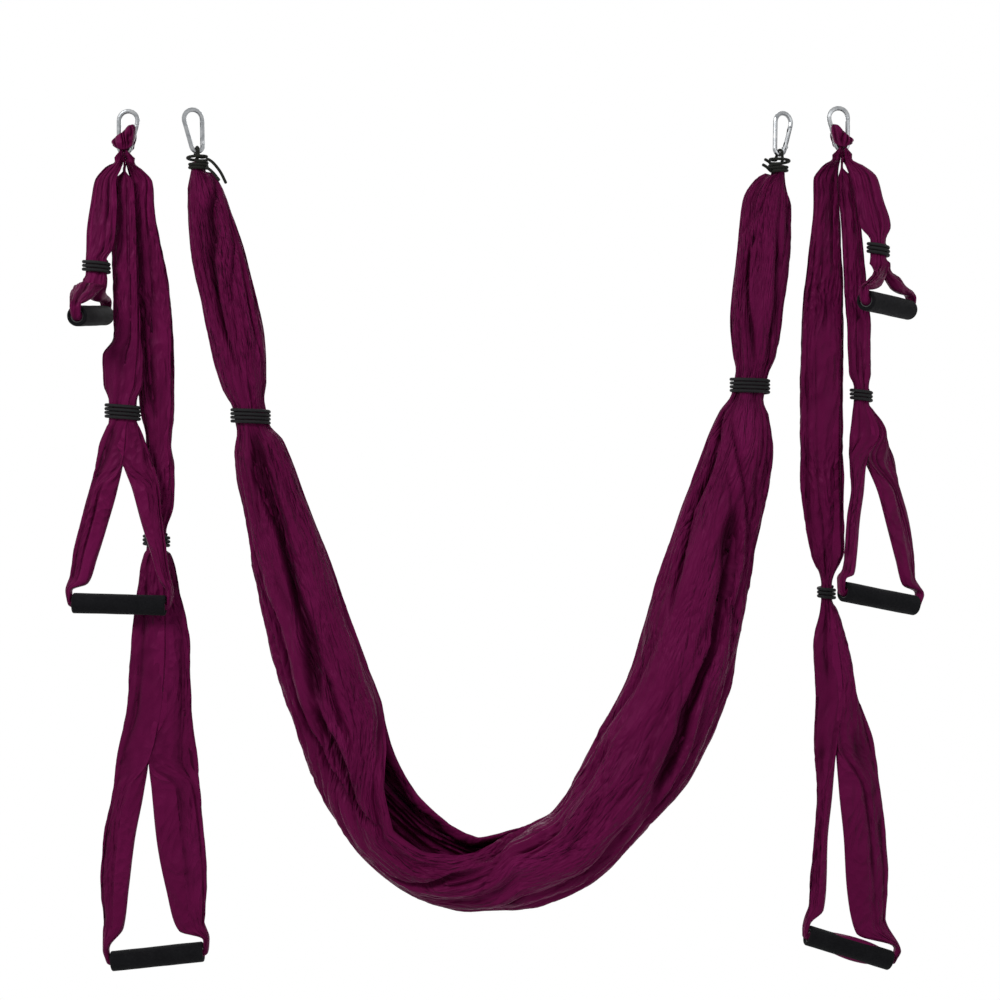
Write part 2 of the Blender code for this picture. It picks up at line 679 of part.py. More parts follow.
def build_strap(name, strap, hanger, matrix, parts, cloth):
    """One closed loop of cloth: over the hook, gathered, parted in two and through the handle."""
    mesh = bmesh.new()
    neck = neck_rings(mesh, hanger, strap)
    shoulder_left, shoulder_right = strap["shoulder"]
    shoulder = (SHOULDER_DROP / MM, shoulder_left, shoulder_right, 0, SHOULDER_DEPTH / MM)
    top = body_ring(mesh, hanger, shoulder, 0)
    crotch = seam(mesh, top[6], top[0], CROTCH_RISE)
    bridge(mesh, [*top[:7], *crotch], neck[0])
    for first, second in zip(neck, neck[1:]):
        bridge(mesh, first, second)
    bridge(mesh, neck[-1], [top[0], *reversed(top[6:]), *crotch])

    rows = strap_rows(strap)
    twist = math.radians(strap["yaw"])
    last = top
    for i, row in enumerate(rows):
        ring = body_ring(mesh, hanger, row, twist * (i + 1) / (len(rows) + 1))
        bridge(mesh, last, ring)
        last = ring
    foot = split_ring(mesh, hanger, strap["split"], twist)
    bridge(mesh, last, foot)
    crotch = seam(mesh, foot[9], foot[3], CROTCH_RISE)
    strands = stirrup_rings(mesh, strap, matrix)
    bridge(mesh, [*foot[3:10], *crotch], strands[0])
    for first, second in zip(strands, strands[1:]):
        bridge(mesh, first, second)
    right = [foot[k] for k in (3, 2, 1, 0, 11, 10, 9)]
    bridge(mesh, strands[-1], [*right, *crotch])
    bmesh.ops.triangulate(mesh, faces=mesh.faces)
    obj = place(mesh_object(name, mesh), parts, cloth)
    return smooth(obj, 60)


def build_set(name, where, straps, parts, stuffs):
    hanger = Hook(where).hanger
    for size, strap in straps.items():
        label = f"{name}_{size}"
        matrix = grip_matrix(strap, hanger)
        build_strap(f"{label}_strap", strap, hanger, matrix, parts, stuffs["cloth"])
        drop, left, right, y, depth, turns, tilt = strap["band"]
        centre = hanger + Vector(((left + right) / 2, y, -drop)) * MM
        slope = -math.tan(math.radians(tilt))
        lean = Matrix(((1, 0, 0), (0, 1, 0), (slope, 0, 1)))
        build_band(f"{label}_band", centre, (right - left) / 2 * MM, depth * MM, turns, lean,
                   parts, stuffs["elastic"])
        build_handle(label, matrix, parts, stuffs["foam"], stuffs["plastic"])


def hammock_path(left, right):
    """The rows of the hammock in the world: middle, half width, half depth and trough."""
    half_band = (HAMMOCK_BAND_TURNS * BAND_STEP + BAND_CORD_D) / 2 + BAND_MARGIN
    neck_bottom = NECK_TOP + NECK_LENGTH
    rows = []

    def add(hanger, across, drop, width, depth, trough):
        rows.append((hanger + Vector((across, 0, -drop)), width / 2, depth / 2, trough))

    def add_side(hanger, table, band, heading):
        for row in table:
            if row != "band":
                across, drop, width, depth, trough = row
                add(hanger, across * MM, drop * MM, width * MM, depth * MM, trough)
                continue
            across, drop, width, depth, _ = band
            for sign in (-1, 1):
                along = heading * sign * half_band
                add(hanger, across * MM + along.x, drop * MM - along.z, width * MM, depth * MM, 0)

    for drop in (NECK_TOP + CAP_RISE, neck_bottom):
        add(left, NECK_ACROSS, drop, 2 * NECK_R, 2 * NECK_R, 0)
    add_side(left, HAMMOCK_LEFT_ROWS, HAMMOCK_LEFT_BAND, LEFT_ARM_HEADING)
    add_side(right, HAMMOCK_RIGHT_ROWS, HAMMOCK_RIGHT_BAND, RIGHT_ARM_HEADING)
    for drop in (neck_bottom, NECK_TOP + CAP_RISE):
        add(right, -NECK_ACROSS, drop, 2 * NECK_R, 2 * NECK_R, 0)
    return rows


def hammock_ring(mesh, index, middle, out, half_w, half_d, trough):
    half_w *= 1 + TROUGH_WIDEN * trough
    middle = middle - out * half_w * TROUGH_MOVE * trough
    made = []
    for k in range(SECTION_POINTS):
        angle = FULL_TURN * k / SECTION_POINTS
        aside = abs(angle - HALF_TURN)
        dip = max(0.0, 1 - aside / TROUGH_HALF_ANGLE)
        dip = dip * dip * (3 - 2 * dip) * trough
        fold = 1.0
        if k % 2:
            fold = 1 - (FOLD_DEPTH + 0.05 * math.sin(0.9 * index + 1.7 * k)) * (1 - dip)
        across = (math.cos(angle) * fold + TROUGH_DIP * dip) * half_w
        at = middle + out * across + Vector((0, -1, 0)) * half_d * math.sin(angle) * fold
        made.append(mesh.verts.new(at))
    return made


def build_hammock(left, right, parts, cloth):
    mesh = bmesh.new()
    rows = hammock_path(left, right)
    rings = []
    for i, (middle, half_w, half_d, trough) in enumerate(rows):
        before, after = rows[max(i - 1, 0)][0], rows[min(i + 1, len(rows) - 1)][0]
        along = after - before
        along.y = 0
        if i in (0, 1):
            along = Vector((0, 0, -1))
        if i in (len(rows) - 2, len(rows) - 1):
            along = Vector((0, 0, 1))
        along.normalize()
        out = Vector((along.z, 0, -along.x))
        rings.append(hammock_ring(mesh, i, middle, out, half_w, half_d, trough))
    for first, second in zip(rings, rings[1:]):
        bridge(mesh, first, second)
    cap(mesh, rings[0], rows[0][0] + Vector((0, 0, CAP_RISE)))
    cap(mesh, rings[-1], rows[-1][0] + Vector((0, 0, CAP_RISE)))
    bmesh.ops.triangulate(mesh, faces=mesh.faces)
    obj = place(mesh_object("hammock_cloth", mesh), parts, cloth)
    return smooth(obj, 60)


def build_hammock_band(name, hanger, band, tilt, parts, elastic):
    across, drop, width, depth, _ = band
    centre = hanger + Vector((across, 0, -drop)) * MM
    lean = Matrix.Rotation(math.radians(tilt), 3, "Y")
    return build_band(name, centre, width / 2 * MM, depth / 2 * MM, HAMMOCK_BAND_TURNS, lean,
                      parts, elastic)


LEFT_TAILS = (
    [(36, -24, 46), (27, -22, 35), (19, -17, 28)],
    [(18, -9, 13), (27, -18, 20), (38, -23, 34), (46, -23, 50)],
)
RIGHT_TAILS = (
    [(27, -18, 18), (21, -15, 21)],
    [(17, -8, 12), (23, -11, 9)],
)


def build_rope(name, hook, side, tails, parts, rope):
    """The rope that ties a gathered end to its hook, from tail to tail as one unbroken tube.

    It whips the cloth's neck, climbs over the hook's foot bend and whips its own two legs.
    """
    hanger = hook.hanger
    aside = Vector((-math.sin(hook.turn), math.cos(hook.turn), 0))
    arch_r = ROD_D / 2 + ROPE_GAP + ROPE_D / 2
    neck = hanger + Vector((side * NECK_ACROSS, 0, 0))

    def about(centre, radius, degrees, drop):
        radius /= math.cos(HALF_TURN / ROPE_POINTS)
        angle = math.radians(degrees)
        return centre + Vector((side * radius * math.cos(angle), radius * math.sin(angle), -drop))

    cloth_r = NECK_R + CLOTH_GAP + ROPE_D / 2
    legs_r = arch_r + ROPE_D + WHIP_SPREAD
    low = NECK_TOP + NECK_LENGTH - 0.65 * ROPE_D
    rise = ROPE_STEP / ROPE_POINTS
    step = 360 / ROPE_POINTS
    first_tail, second_tail = tails
    points = [hanger + Vector((side * x, y, -d)) * MM for x, y, d in first_tail]
    points += [
        about(neck, cloth_r, NECK_WHIP_START - step * i, low - rise * i) for i in range(WHIP_POINTS)
    ]
    front, back = -aside, aside
    leaving = NECK_WHIP_START - step * (WHIP_POINTS - 0.6)
    points.append(about(neck, cloth_r, leaving, NECK_TOP - 0.5 * MM))
    points.append(hanger + front * (arch_r + 1 * MM) - Vector((0, 0, 9 * MM)))
    points.append(hanger + front * arch_r - Vector((0, 0, 3 * MM)))
    for degrees in range(-90, 91, 20):
        angle = math.radians(degrees)
        points.append(hanger + (back * math.sin(angle) + Vector((0, 0, math.cos(angle)))) * arch_r)
    whip_top = ROD_D / 2 + LEG_WHIP_TOP
    points.append(hanger + back * (arch_r + 2.5 * MM) - Vector((0, 0, 3 * MM)))
    points += [
        about(hanger, legs_r, LEG_WHIP_START - step * i, whip_top + rise * i)
        for i in range(WHIP_POINTS)
    ]
    points += [hanger + Vector((side * x, y, -d)) * MM for x, y, d in second_tail]
    print(f"{name}: least gap to itself {least_gap(points, ROPE_D) / MM:.2f} mm")
    return tube(name, points, ROPE_D, parts, rope)


def main():
    clear_scene()
    parts = new_collection(COLLECTION)
    cutters = new_collection("cutters")
    stuffs = {
        "cloth": material("plum_nylon", (0.105, 0.006, 0.05), 0.42),
        "elastic": material("black_elastic", (0.012, 0.012, 0.013), 0.7),
        "rope": material("black_rope", (0.012, 0.013, 0.009), 0.75),
        "foam": material("black_foam", (0.01, 0.01, 0.012), 0.85),
        "plastic": material("black_tube", (0.02, 0.02, 0.02), 0.45),
        "steel": material("zinc_steel", (0.55, 0.55, 0.56), 0.32, 1.0),
    }
    hooks = {
        "hammock_left": HAMMOCK_LEFT,
        "hammock_right": HAMMOCK_RIGHT,
        "left_set": SET_LEFT,
        "right_set": SET_RIGHT,
    }
    for name, where in hooks.items():
        pivot = build_hook(f"{name}_hook", Hook(where), parts, cutters, stuffs["steel"])
        print(f"{name}: gate pivot {tuple(round(v, 5) for v in pivot)}, "
              f"hanger {tuple(round(v, 5) for v in Hook(where).hanger)}")
    left, right = Hook(HAMMOCK_LEFT), Hook(HAMMOCK_RIGHT)
    build_hammock(left.hanger, right.hanger, parts, stuffs["cloth"])
    build_hammock_band("hammock_left_band", left.hanger, HAMMOCK_LEFT_BAND, -11.5,
                       parts, stuffs["elastic"])
    build_hammock_band("hammock_right_band", right.hanger, HAMMOCK_RIGHT_BAND, 10.5,
                       parts, stuffs["elastic"])
    build_rope("hammock_left_rope", left, 1, LEFT_TAILS, parts, stuffs["rope"])
    build_rope("hammock_right_rope", right, -1, RIGHT_TAILS, parts, stuffs["rope"])
    build_set("left_set", SET_LEFT,
              {"short": LEFT_SHORT, "medium": LEFT_MEDIUM, "long": LEFT_LONG}, parts, stuffs)
    build_set("right_set", SET_RIGHT,
              {"short": RIGHT_SHORT, "medium": RIGHT_MEDIUM, "long": RIGHT_LONG}, parts, stuffs)


main()
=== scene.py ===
"""Looks of the aerial yoga swing: gathered plum nylon, elastic bands, rope ties and foam grips."""

from math import acos, atan2, cos, pi, radians, sin, sqrt, tan

import bpy
import numpy as np
from mathutils import Matrix, Vector


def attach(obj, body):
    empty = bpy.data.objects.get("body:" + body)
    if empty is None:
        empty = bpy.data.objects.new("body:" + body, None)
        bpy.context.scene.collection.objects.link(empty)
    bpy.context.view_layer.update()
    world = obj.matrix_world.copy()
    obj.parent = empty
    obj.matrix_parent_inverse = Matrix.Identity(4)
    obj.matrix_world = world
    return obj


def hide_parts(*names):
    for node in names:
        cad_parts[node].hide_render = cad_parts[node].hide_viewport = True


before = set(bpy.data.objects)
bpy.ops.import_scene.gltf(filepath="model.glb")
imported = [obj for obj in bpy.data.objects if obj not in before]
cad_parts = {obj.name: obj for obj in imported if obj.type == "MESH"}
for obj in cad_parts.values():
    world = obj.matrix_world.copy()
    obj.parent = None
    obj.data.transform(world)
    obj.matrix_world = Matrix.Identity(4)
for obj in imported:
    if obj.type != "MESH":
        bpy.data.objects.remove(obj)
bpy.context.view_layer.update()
MM = 0.001
SCENE = bpy.context.scene

# ---- camera, world and stage

CENTRE = Vector((0.462, 0.0, -0.582))
VIEW_WIDTH = 1.5
LENS = 80.0
SENSOR = 36.0
FLOOR_Z = -1.72


def new_object(name, data):
    made = bpy.data.objects.new(name, data)
    SCENE.collection.objects.link(made)
    return made


camera_data = bpy.data.cameras.new("camera")
camera_data.lens = LENS
camera_data.sensor_width = SENSOR
camera = new_object("camera", camera_data)
camera.location = CENTRE + Vector((0, -VIEW_WIDTH * LENS / SENSOR, 0))
camera.rotation_euler = (radians(90), 0, 0)
SCENE.camera = camera
SCENE.view_settings.view_transform = "Standard"


class Tree:
    """A node tree with short calls for what the materials need."""

    def __init__(self, tree):
        self.tree = tree
        tree.nodes.clear()

    def add(self, kind, inputs=None, **settings):
        """A new node. What an input is given is a value, or the output that feeds it."""
        node = self.tree.nodes.new(kind)
        for key, value in settings.items():
            setattr(node, key, value)
        for key, value in (inputs or {}).items():
            if isinstance(value, bpy.types.NodeSocket):
                self.tree.links.new(value, node.inputs[key])
            else:
                node.inputs[key].default_value = value
        return node

    def math(self, operation, first, second):
        return self.add("ShaderNodeMath", {0: first, 1: second}, operation=operation).outputs[0]

    def ramp(self, source, stops):
        """A colour ramp with stops of (place, colour), where a single number is a grey."""
        node = self.add("ShaderNodeValToRGB", {0: source})
        elements = node.color_ramp.elements
        while len(elements) < len(stops):
            elements.new(0.5)
        for element, (place, colour) in zip(elements, stops):
            element.position = place
            element.color = (*colour, 1) if isinstance(colour, tuple) else (*[colour] * 3, 1)
        return node.outputs[0]

    def mapped(self, source, scale, turn=0.0):
        inputs = {"Vector": source, "Scale": scale, "Rotation": (0, 0, turn)}
        return self.add("ShaderNodeMapping", inputs).outputs[0]

    def noise(self, source, scale, detail, roughness=0.5, kind="FBM"):
        inputs = {"Vector": source, "Scale": scale, "Detail": detail, "Roughness": roughness}
        return self.add("ShaderNodeTexNoise", inputs, noise_type=kind).outputs[0]

    def bump(self, height, distance, strength, under=None):
        inputs = {"Height": height, "Distance": distance, "Strength": strength}
        if under is not None:
            inputs["Normal"] = under
        return self.add("ShaderNodeBump", inputs).outputs[0]


def new_stuff(name, where):
    """A material, its node tree, and the kind of place on the object that its textures follow."""
    stuff = bpy.data.materials.new(name)
    stuff.use_nodes = True
    tree = Tree(stuff.node_tree)
    return stuff, tree, tree.add("ShaderNodeTexCoord").outputs[where]


def seen_ray(tree):
    """1 for a camera ray, a mirrored ray or one through glass, and 0 for light on the object."""
    path = tree.add("ShaderNodeLightPath").outputs
    seen = tree.math("MAXIMUM", path["Is Camera Ray"], path["Is Glossy Ray"])
    return tree.math("MAXIMUM", seen, path["Is Transmission Ray"])


def build_world():
    world = bpy.data.worlds.new("studio")
    SCENE.world = world
    world.use_nodes = True
    tree = Tree(world.node_tree)
    soft, white = (
        tree.add("ShaderNodeBackground", {"Color": colour, "Strength": strength}).outputs[0]
        for colour, strength in (((0.95, 0.96, 1.0, 1), 0.22), ((1, 1, 1, 1), 1.0))
    )
    mix = tree.add("ShaderNodeMixShader", {0: seen_ray(tree), 1: soft, 2: white})
    tree.add("ShaderNodeOutputWorld", {"Surface": mix.outputs[0]})


def area_light(name, place, aim, size, power):
    data = bpy.data.lights.new(name, "AREA")
    data.shape = "DISK"
    data.size = size
    data.energy = power
    lamp = new_object(name, data)
    lamp.location = place
    lamp.rotation_euler = (Vector(aim) - Vector(place)).to_track_quat("-Z", "Y").to_euler()


def build_stage():
    """A pale round floor under the swing, fading out at its rim."""
    steps = 96
    radii = (0.5, 1.0, 1.4)
    points = [(CENTRE.x, 0, FLOOR_Z)]
    for radius in radii:
        for k in range(steps):
            angle = 2 * pi * k / steps
            points.append((CENTRE.x + radius * cos(angle), radius * sin(angle), FLOOR_Z))
    faces = [(0, 1 + k, 1 + (k + 1) % steps) for k in range(steps)]
    for ring in range(len(radii) - 1):
        a, b = 1 + ring * steps, 1 + (ring + 1) * steps
        faces += [(a + k, b + k, b + (k + 1) % steps, a + (k + 1) % steps) for k in range(steps)]
    mesh = bpy.data.meshes.new("floor")
    mesh.from_pydata(points, [], faces)
    floor = new_object("floor", mesh)
    stuff, tree, where = new_stuff("pale_floor", "Object")
    colour = tree.ramp(tree.noise(where, 60.0, 2.0), [(0.3, 0.80), (0.7, 0.84)])
    plain = tree.add("ShaderNodeBsdfDiffuse", {"Color": colour})
    grey = (0.42, 0.42, 0.42, 1)
    glow = tree.add("ShaderNodeEmission", {"Strength": seen_ray(tree), "Color": grey})
    plain = tree.add("ShaderNodeAddShader", {0: plain.outputs[0], 1: glow.outputs[0]})
    clear = tree.add("ShaderNodeBsdfTransparent")
    inputs = {0: where, 1: (CENTRE.x, 0, FLOOR_Z)}
    middle = tree.add("ShaderNodeVectorMath", inputs, operation="SUBTRACT")
    reach = tree.add("ShaderNodeVectorMath", {0: middle.outputs[0]}, operation="LENGTH")
    fade = tree.ramp(reach.outputs["Value"], [(0.75, 0), (1.0, 1)])
    mix = tree.add("ShaderNodeMixShader", {0: fade, 1: plain.outputs[0], 2: clear.outputs[0]})
    tree.add("ShaderNodeOutputMaterial", {"Surface": mix.outputs[0]})
    floor.data.materials.append(stuff)


build_world()
build_stage()
area_light("key", (-1.5, -2.7, 1.5), (0.4, 0, -0.55), 1.2, 70)
area_light("fill", (2.6, -2.4, -0.2), (0.5, 0, -0.6), 1.6, 14)
area_light("back", (0.6, 2.6, 0.9), (0.45, 0, -0.6), 2.0, 30)

# ---- materials


def finish_stuff(tree, colour, rough, normal, more):
    inputs = {"Base Color": colour, "Roughness": rough, "Normal": normal, **more}
    shader = tree.add("ShaderNodeBsdfPrincipled", inputs)
    tree.add("ShaderNodeOutputMaterial", {"Surface": shader.outputs[0]})


def nylon_stuff():
    """Thin taffeta: plain weave, soft creases along the fall, crossing wrinkles, a sheen and
    painted fold shade.
    """
    stuff, tree, flat = new_stuff("nylon_taffeta", "UV")
    fold_shade = tree.add("ShaderNodeAttribute", attribute_name="fold_shade").outputs["Fac"]
    cloud = tree.noise(tree.mapped(flat, (9, 5, 1)), 1.0, 4.0)
    tint = tree.ramp(cloud, [
        (0.25, (0.098, 0.0042, 0.040)), (0.55, (0.126, 0.0056, 0.052)),
        (0.8, (0.162, 0.0080, 0.070)),
    ])
    # painted shade and highlight: darker in the valleys of the folds and in the hidden inner cloth,
    # lighter on the ridges
    painted_fold_shade = tree.ramp(fold_shade, [(0.0, (0.32, 0.28, 0.30)), (0.4, 0.80), (1.0, 1.18)])
    inputs = {0: 1.0, 6: tint, 7: painted_fold_shade}
    colour = tree.add("ShaderNodeMix", inputs, data_type="RGBA", blend_type="MULTIPLY")
    long_crease = tree.noise(tree.mapped(flat, (42, 6, 1)), 1.0, 2.0, 0.45)
    slant = tree.noise(tree.mapped(flat, (30, 12, 1), 0.6), 1.0, 1.0, 0.5, "RIDGED_MULTIFRACTAL")
    other = tree.noise(tree.mapped(flat, (26, 15, 1), -0.7), 1.0, 1.0, 0.5, "RIDGED_MULTIFRACTAL")
    warp, weft = (
        tree.add("ShaderNodeTexWave", {"Vector": flat, "Scale": 480.0}, bands_direction=way)
        for way in "XY"
    )
    weave = tree.math("MULTIPLY", warp.outputs["Fac"], weft.outputs["Fac"])
    bend = tree.noise(tree.mapped(flat, (15, 8, 1)), 1.0, 1.0)
    normal = None
    for size, turn, depth in (((10, 4, 1), 0.3, 0.0090), ((24, 13, 1), -0.5, 0.0042)):
        place = tree.mapped(flat, size, turn)
        bent = tree.add("ShaderNodeVectorMath", {0: place, 1: bend}, operation="ADD").outputs[0]
        inputs = {"Vector": bent, "Smoothness": 0.12}
        facets = tree.add("ShaderNodeTexVoronoi", inputs, feature="SMOOTH_F1")
        patch = tree.noise(tree.mapped(flat, (7, 5, 1), turn), 1.0, 1.0)
        patch = tree.ramp(patch, [(0.38, 0.2), (0.56, 1)])
        height = tree.math("MULTIPLY", facets.outputs["Distance"], patch)
        normal = tree.bump(height, depth, 0.7, normal)
    normal = tree.bump(long_crease, 0.0024, 0.5, normal)
    normal = tree.bump(slant, 0.0009, 0.4, normal)
    normal = tree.bump(other, 0.0007, 0.35, normal)
    normal = tree.bump(weave, 0.00005, 0.35, normal)
    rough = tree.noise(tree.mapped(flat, (30, 12, 1)), 1.0, 3.0)
    rough = tree.ramp(rough, [(0.3, 0.40), (0.7, 0.52)])
    finish_stuff(tree, colour.outputs[2], rough, normal, {
        "Specular IOR Level": 0.13, "Specular Tint": (1.0, 0.22, 0.60, 1), "Sheen Weight": 0.05,
        "Sheen Roughness": 0.34, "Sheen Tint": (0.9, 0.3, 0.6, 1),
    })
    return stuff


def foam_stuff():
    """Closed-cell foam: matt, finely pitted, with faint rubbed patches."""
    stuff, tree, flat = new_stuff("foam_black", "Object")
    cells = tree.add("ShaderNodeTexVoronoi", {"Vector": flat, "Scale": 1150.0})
    skin = tree.noise(flat, 260.0, 5.0, 0.6)
    rub = tree.noise(flat, 34.0, 3.0)
    colour = tree.ramp(rub, [(0.3, (0.0030, 0.0030, 0.0040)), (0.75, (0.0075, 0.0075, 0.0090))])
    normal = tree.bump(cells.outputs["Distance"], 0.00028, 0.55)
    normal = tree.bump(skin, 0.00035, 0.4, normal)
    rough = tree.ramp(skin, [(0.3, 0.80), (0.7, 0.95)])
    finish_stuff(tree, colour, rough, normal, {
        "Specular IOR Level": 0.12, "Sheen Weight": 0.012, "Sheen Roughness": 0.6,
    })
    return stuff


def braid_stuff(name, dark, light, pitch, depth, rough, sheen):
    """A braided cover: two sets of slanted strands that cross along the cord."""
    stuff, tree, flat = new_stuff(name, "UV")
    slanted = [tree.mapped(flat, (1, 1, 1), turn) for turn in (0.75, -0.75)]
    left, right = (
        tree.add("ShaderNodeTexWave", {"Vector": way, "Scale": 0.314 / pitch}) for way in slanted
    )
    knit = tree.math("MAXIMUM", left.outputs["Fac"], right.outputs["Fac"])
    fuzz = tree.noise(flat, 2600.0, 3.0)
    colour = tree.ramp(tree.math("MULTIPLY", knit, fuzz), [(0.15, dark), (0.6, light)])
    normal = tree.bump(knit, depth, 0.8)
    normal = tree.bump(fuzz, 0.00008, 0.5, normal)
    finish_stuff(tree, colour, rough, normal, {
        "Specular IOR Level": 0.2, "Sheen Weight": sheen, "Sheen Roughness": 0.4,
    })
    return stuff


def zinc_stuff():
    """Plated steel: dull blue-grey zinc, rubbed brighter, with fine drawing marks."""
    stuff, tree, place = new_stuff("zinc_plated_steel", "Object")
    cloud = tree.noise(place, 130.0, 5.0, 0.6)
    marks = tree.noise(tree.mapped(place, (900, 900, 90)), 1.0, 3.0, 0.6)
    rub = tree.noise(place, 420.0, 4.0, 0.7)
    colour = tree.ramp(cloud, [
        (0.25, (0.19, 0.20, 0.21)), (0.55, (0.31, 0.32, 0.33)), (0.8, 0.42),
    ])
    rough = tree.ramp(rub, [(0.3, 0.24), (0.75, 0.44)])
    normal = tree.bump(marks, 0.00006, 0.4)
    normal = tree.bump(rub, 0.00010, 0.35, normal)
    finish_stuff(tree, colour, rough, normal, {"Metallic": 1.0})
    return stuff


def plastic_stuff():
    stuff, tree, place = new_stuff("grey_tube_plastic", "Object")
    speck = tree.noise(place, 700.0, 4.0, 0.6)
    colour = tree.ramp(speck, [(0.3, (0.030, 0.030, 0.032)), (0.7, (0.050, 0.050, 0.053))])
    rough = tree.ramp(speck, [(0.3, 0.38), (0.7, 0.55)])
    normal = tree.bump(speck, 0.00008, 0.4)
    finish_stuff(tree, colour, rough, normal, {"Specular IOR Level": 0.5})
    return stuff


NYLON = nylon_stuff()
FOAM = foam_stuff()
ELASTIC = braid_stuff(
    "elastic_cover", dark=(0.0025, 0.0025, 0.0035), light=(0.012, 0.012, 0.013),
    pitch=0.0011, depth=0.00022, rough=0.66, sheen=0.02,
)
ROPE = braid_stuff(
    "rope_cover", dark=(0.0035, 0.0040, 0.0028), light=(0.016, 0.017, 0.012),
    pitch=0.0015, depth=0.00030, rough=0.78, sheen=0.04,
)
ZINC = zinc_stuff()
PLASTIC = plastic_stuff()

# ---- mesh helpers


def grid_object(name, points, flat, stuff, values=None, closed=False, caps=False):
    """A mesh from a grid of points, rows by columns, with its flat place in metres as UVs."""
    rows, columns = points.shape[:2]
    index = np.arange(rows * columns).reshape(rows, columns)
    a, d = index[:-1], index[1:]
    if closed:
        quads = np.stack([a, np.roll(a, -1, 1), np.roll(d, -1, 1), d], -1).reshape(-1, 4)
    else:
        quads = np.stack([a[:, :-1], a[:, 1:], d[:, 1:], d[:, :-1]], -1).reshape(-1, 4)
    faces = quads.tolist()
    if caps:
        faces += [index[0][::-1].tolist(), index[-1].tolist()]
    mesh = bpy.data.meshes.new(name)
    mesh.from_pydata(points.reshape(-1, 3).tolist(), [], faces)
    layer = mesh.uv_layers.new(name="flat")
    corners = np.zeros(len(mesh.loops), int)
    mesh.loops.foreach_get("vertex_index", corners)
    layer.data.foreach_set("uv", flat.reshape(-1, 2)[corners].astype(np.float32).ravel())
    if values is not None:
        # the painted shade of each point, read by the cloth's colour: low values darken it, high
        # ones lighten it
        attribute = mesh.attributes.new("fold_shade", "FLOAT", "POINT")
        attribute.data.foreach_set("value", values.astype(np.float32).ravel())
    mesh.polygons.foreach_set("use_smooth", [True] * len(mesh.polygons))
    mesh.materials.append(stuff)
    mesh.update()
    return new_object(name, mesh)


def unit(x):
    """x, kept between 0 and 1."""
    return np.clip(x, 0, 1)


def distances(points):
    """How far each point of a line lies along it."""
    return np.concatenate([[0], np.cumsum(np.linalg.norm(np.diff(points, axis=0), axis=1))])


def flat_places(rows, columns):
    """The flat place of each point of a grid, from the places of its rows and columns."""
    return np.stack(np.meshgrid(rows, columns, indexing="ij"), -1)


def smooth_between(x, y, xi):
    """Values of y at xi, along axis 0, on smooth curves that don't overshoot."""
    shape = y.shape
    y = y.reshape(len(x), -1)
    h = np.diff(x)
    slope = np.diff(y, axis=0) / h[:, None]
    tangent = np.zeros_like(y)
    w1, w2 = 2 * h[1:] + h[:-1], 2 * h[:-1] + h[1:]
    same = slope[:-1] * slope[1:] > 0
    with np.errstate(divide="ignore", invalid="ignore"):
        mean = (w1 + w2)[:, None] / (w1[:, None] / slope[:-1] + w2[:, None] / slope[1:])
    tangent[1:-1] = np.where(same, mean, 0)
    tangent[0], tangent[-1] = slope[0], slope[-1]
    k = np.clip(np.searchsorted(x, xi, side="right") - 1, 0, len(x) - 2)
    t = ((xi - x[k]) / h[k])[:, None]
    hk = h[k][:, None]
    made = (
        (2 * t ** 3 - 3 * t ** 2 + 1) * y[k] + (t ** 3 - 2 * t ** 2 + t) * hk * tangent[k]
        + (3 * t ** 2 - 2 * t ** 3) * y[k + 1] + (t ** 3 - t ** 2) * hk * tangent[k + 1]
    )
    return made.reshape(len(xi), *shape[1:])


def along_table(table, x):
    """A number that changes along the cloth, from a table of (place, number)."""
    places, numbers = zip(*table)
    return np.interp(x, places, numbers)


def grid_normals(points, centres):
    down = np.gradient(points, axis=0)
    across = np.gradient(points, axis=1)
    normal = np.cross(down, across)
    normal /= np.linalg.norm(normal, axis=2, keepdims=True) + 1e-12
    facing = np.sum(normal * (points - centres), axis=2, keepdims=True)
    return normal * np.where(facing < 0, -1, 1)


def ripples(rng, count, u, v, along, across, slant):
    """A random smooth height, from -1 to 1: count waves of about along by across mm, slanted."""
    total = np.zeros_like(u)
    for _ in range(count):
        turn = slant * rng.uniform(-1, 1)
        ku = 2 * pi / (along * rng.uniform(0.6, 1.7))
        kv = 2 * pi / (across * rng.uniform(0.6, 1.7)) * rng.choice([-1, 1])
        uu = u * cos(turn) - v * sin(turn)
        vv = u * sin(turn) + v * cos(turn)
        total += np.cos(ku * uu + kv * vv + rng.uniform(0, 2 * pi))
    return total / sqrt(count) / 1.6


def crumples(rng, count, u, v, across, slant):
    """Depth from 0 to about 1 of straight creases with flat facets between them, in patches."""
    total = np.zeros_like(u)
    bend = 7 * ripples(rng, 6, u, v, 120, 70, 0.8)
    for _ in range(count):
        turn = slant * rng.uniform(-1, 1)
        line = v * cos(turn) + u * sin(turn) + bend
        patch = unit(0.35 + 1.2 * ripples(rng, 6, u, v, 150, 80, 0.8))
        step = across * rng.uniform(0.6, 1.5)
        total += patch * np.abs((line / step + rng.uniform()) % 1 - 0.5) * 2
    return total / count * 2


def pleats(rng, u, place, count, wander, drift_length):
    """Depth from 0 on a ridge to 1 in a valley: count rounded ridges with sharp valleys between.

    place runs from 0 to 1 round the cloth. The ridges wander over about drift_length mm of it.
    """
    shift = np.zeros_like(u)
    for _ in range(5):
        k = 2 * pi / (drift_length * rng.uniform(0.7, 2.2))
        kp = 2 * pi * rng.uniform(0.5, 2.5)
        shift += np.sin(k * u + kp * place + rng.uniform(0, 2 * pi))
    uneven = sum(
        0.12 / n * np.sin(2 * pi * n * place + rng.uniform(0, 2 * pi)) for n in (1, 2, 3, 4)
    )
    phase = count * (place + uneven * 0.4) + wander * shift / 2.2
    return (1 - np.abs(np.sin(pi * phase))) ** 1.25


def between_columns(points, where):
    """The points of every row at places counted in columns."""
    k = np.clip(where.astype(int), 0, points.shape[1] - 2)
    t = (where - k)[None, :, None]
    return points[:, k] * (1 - t) + points[:, k + 1] * t


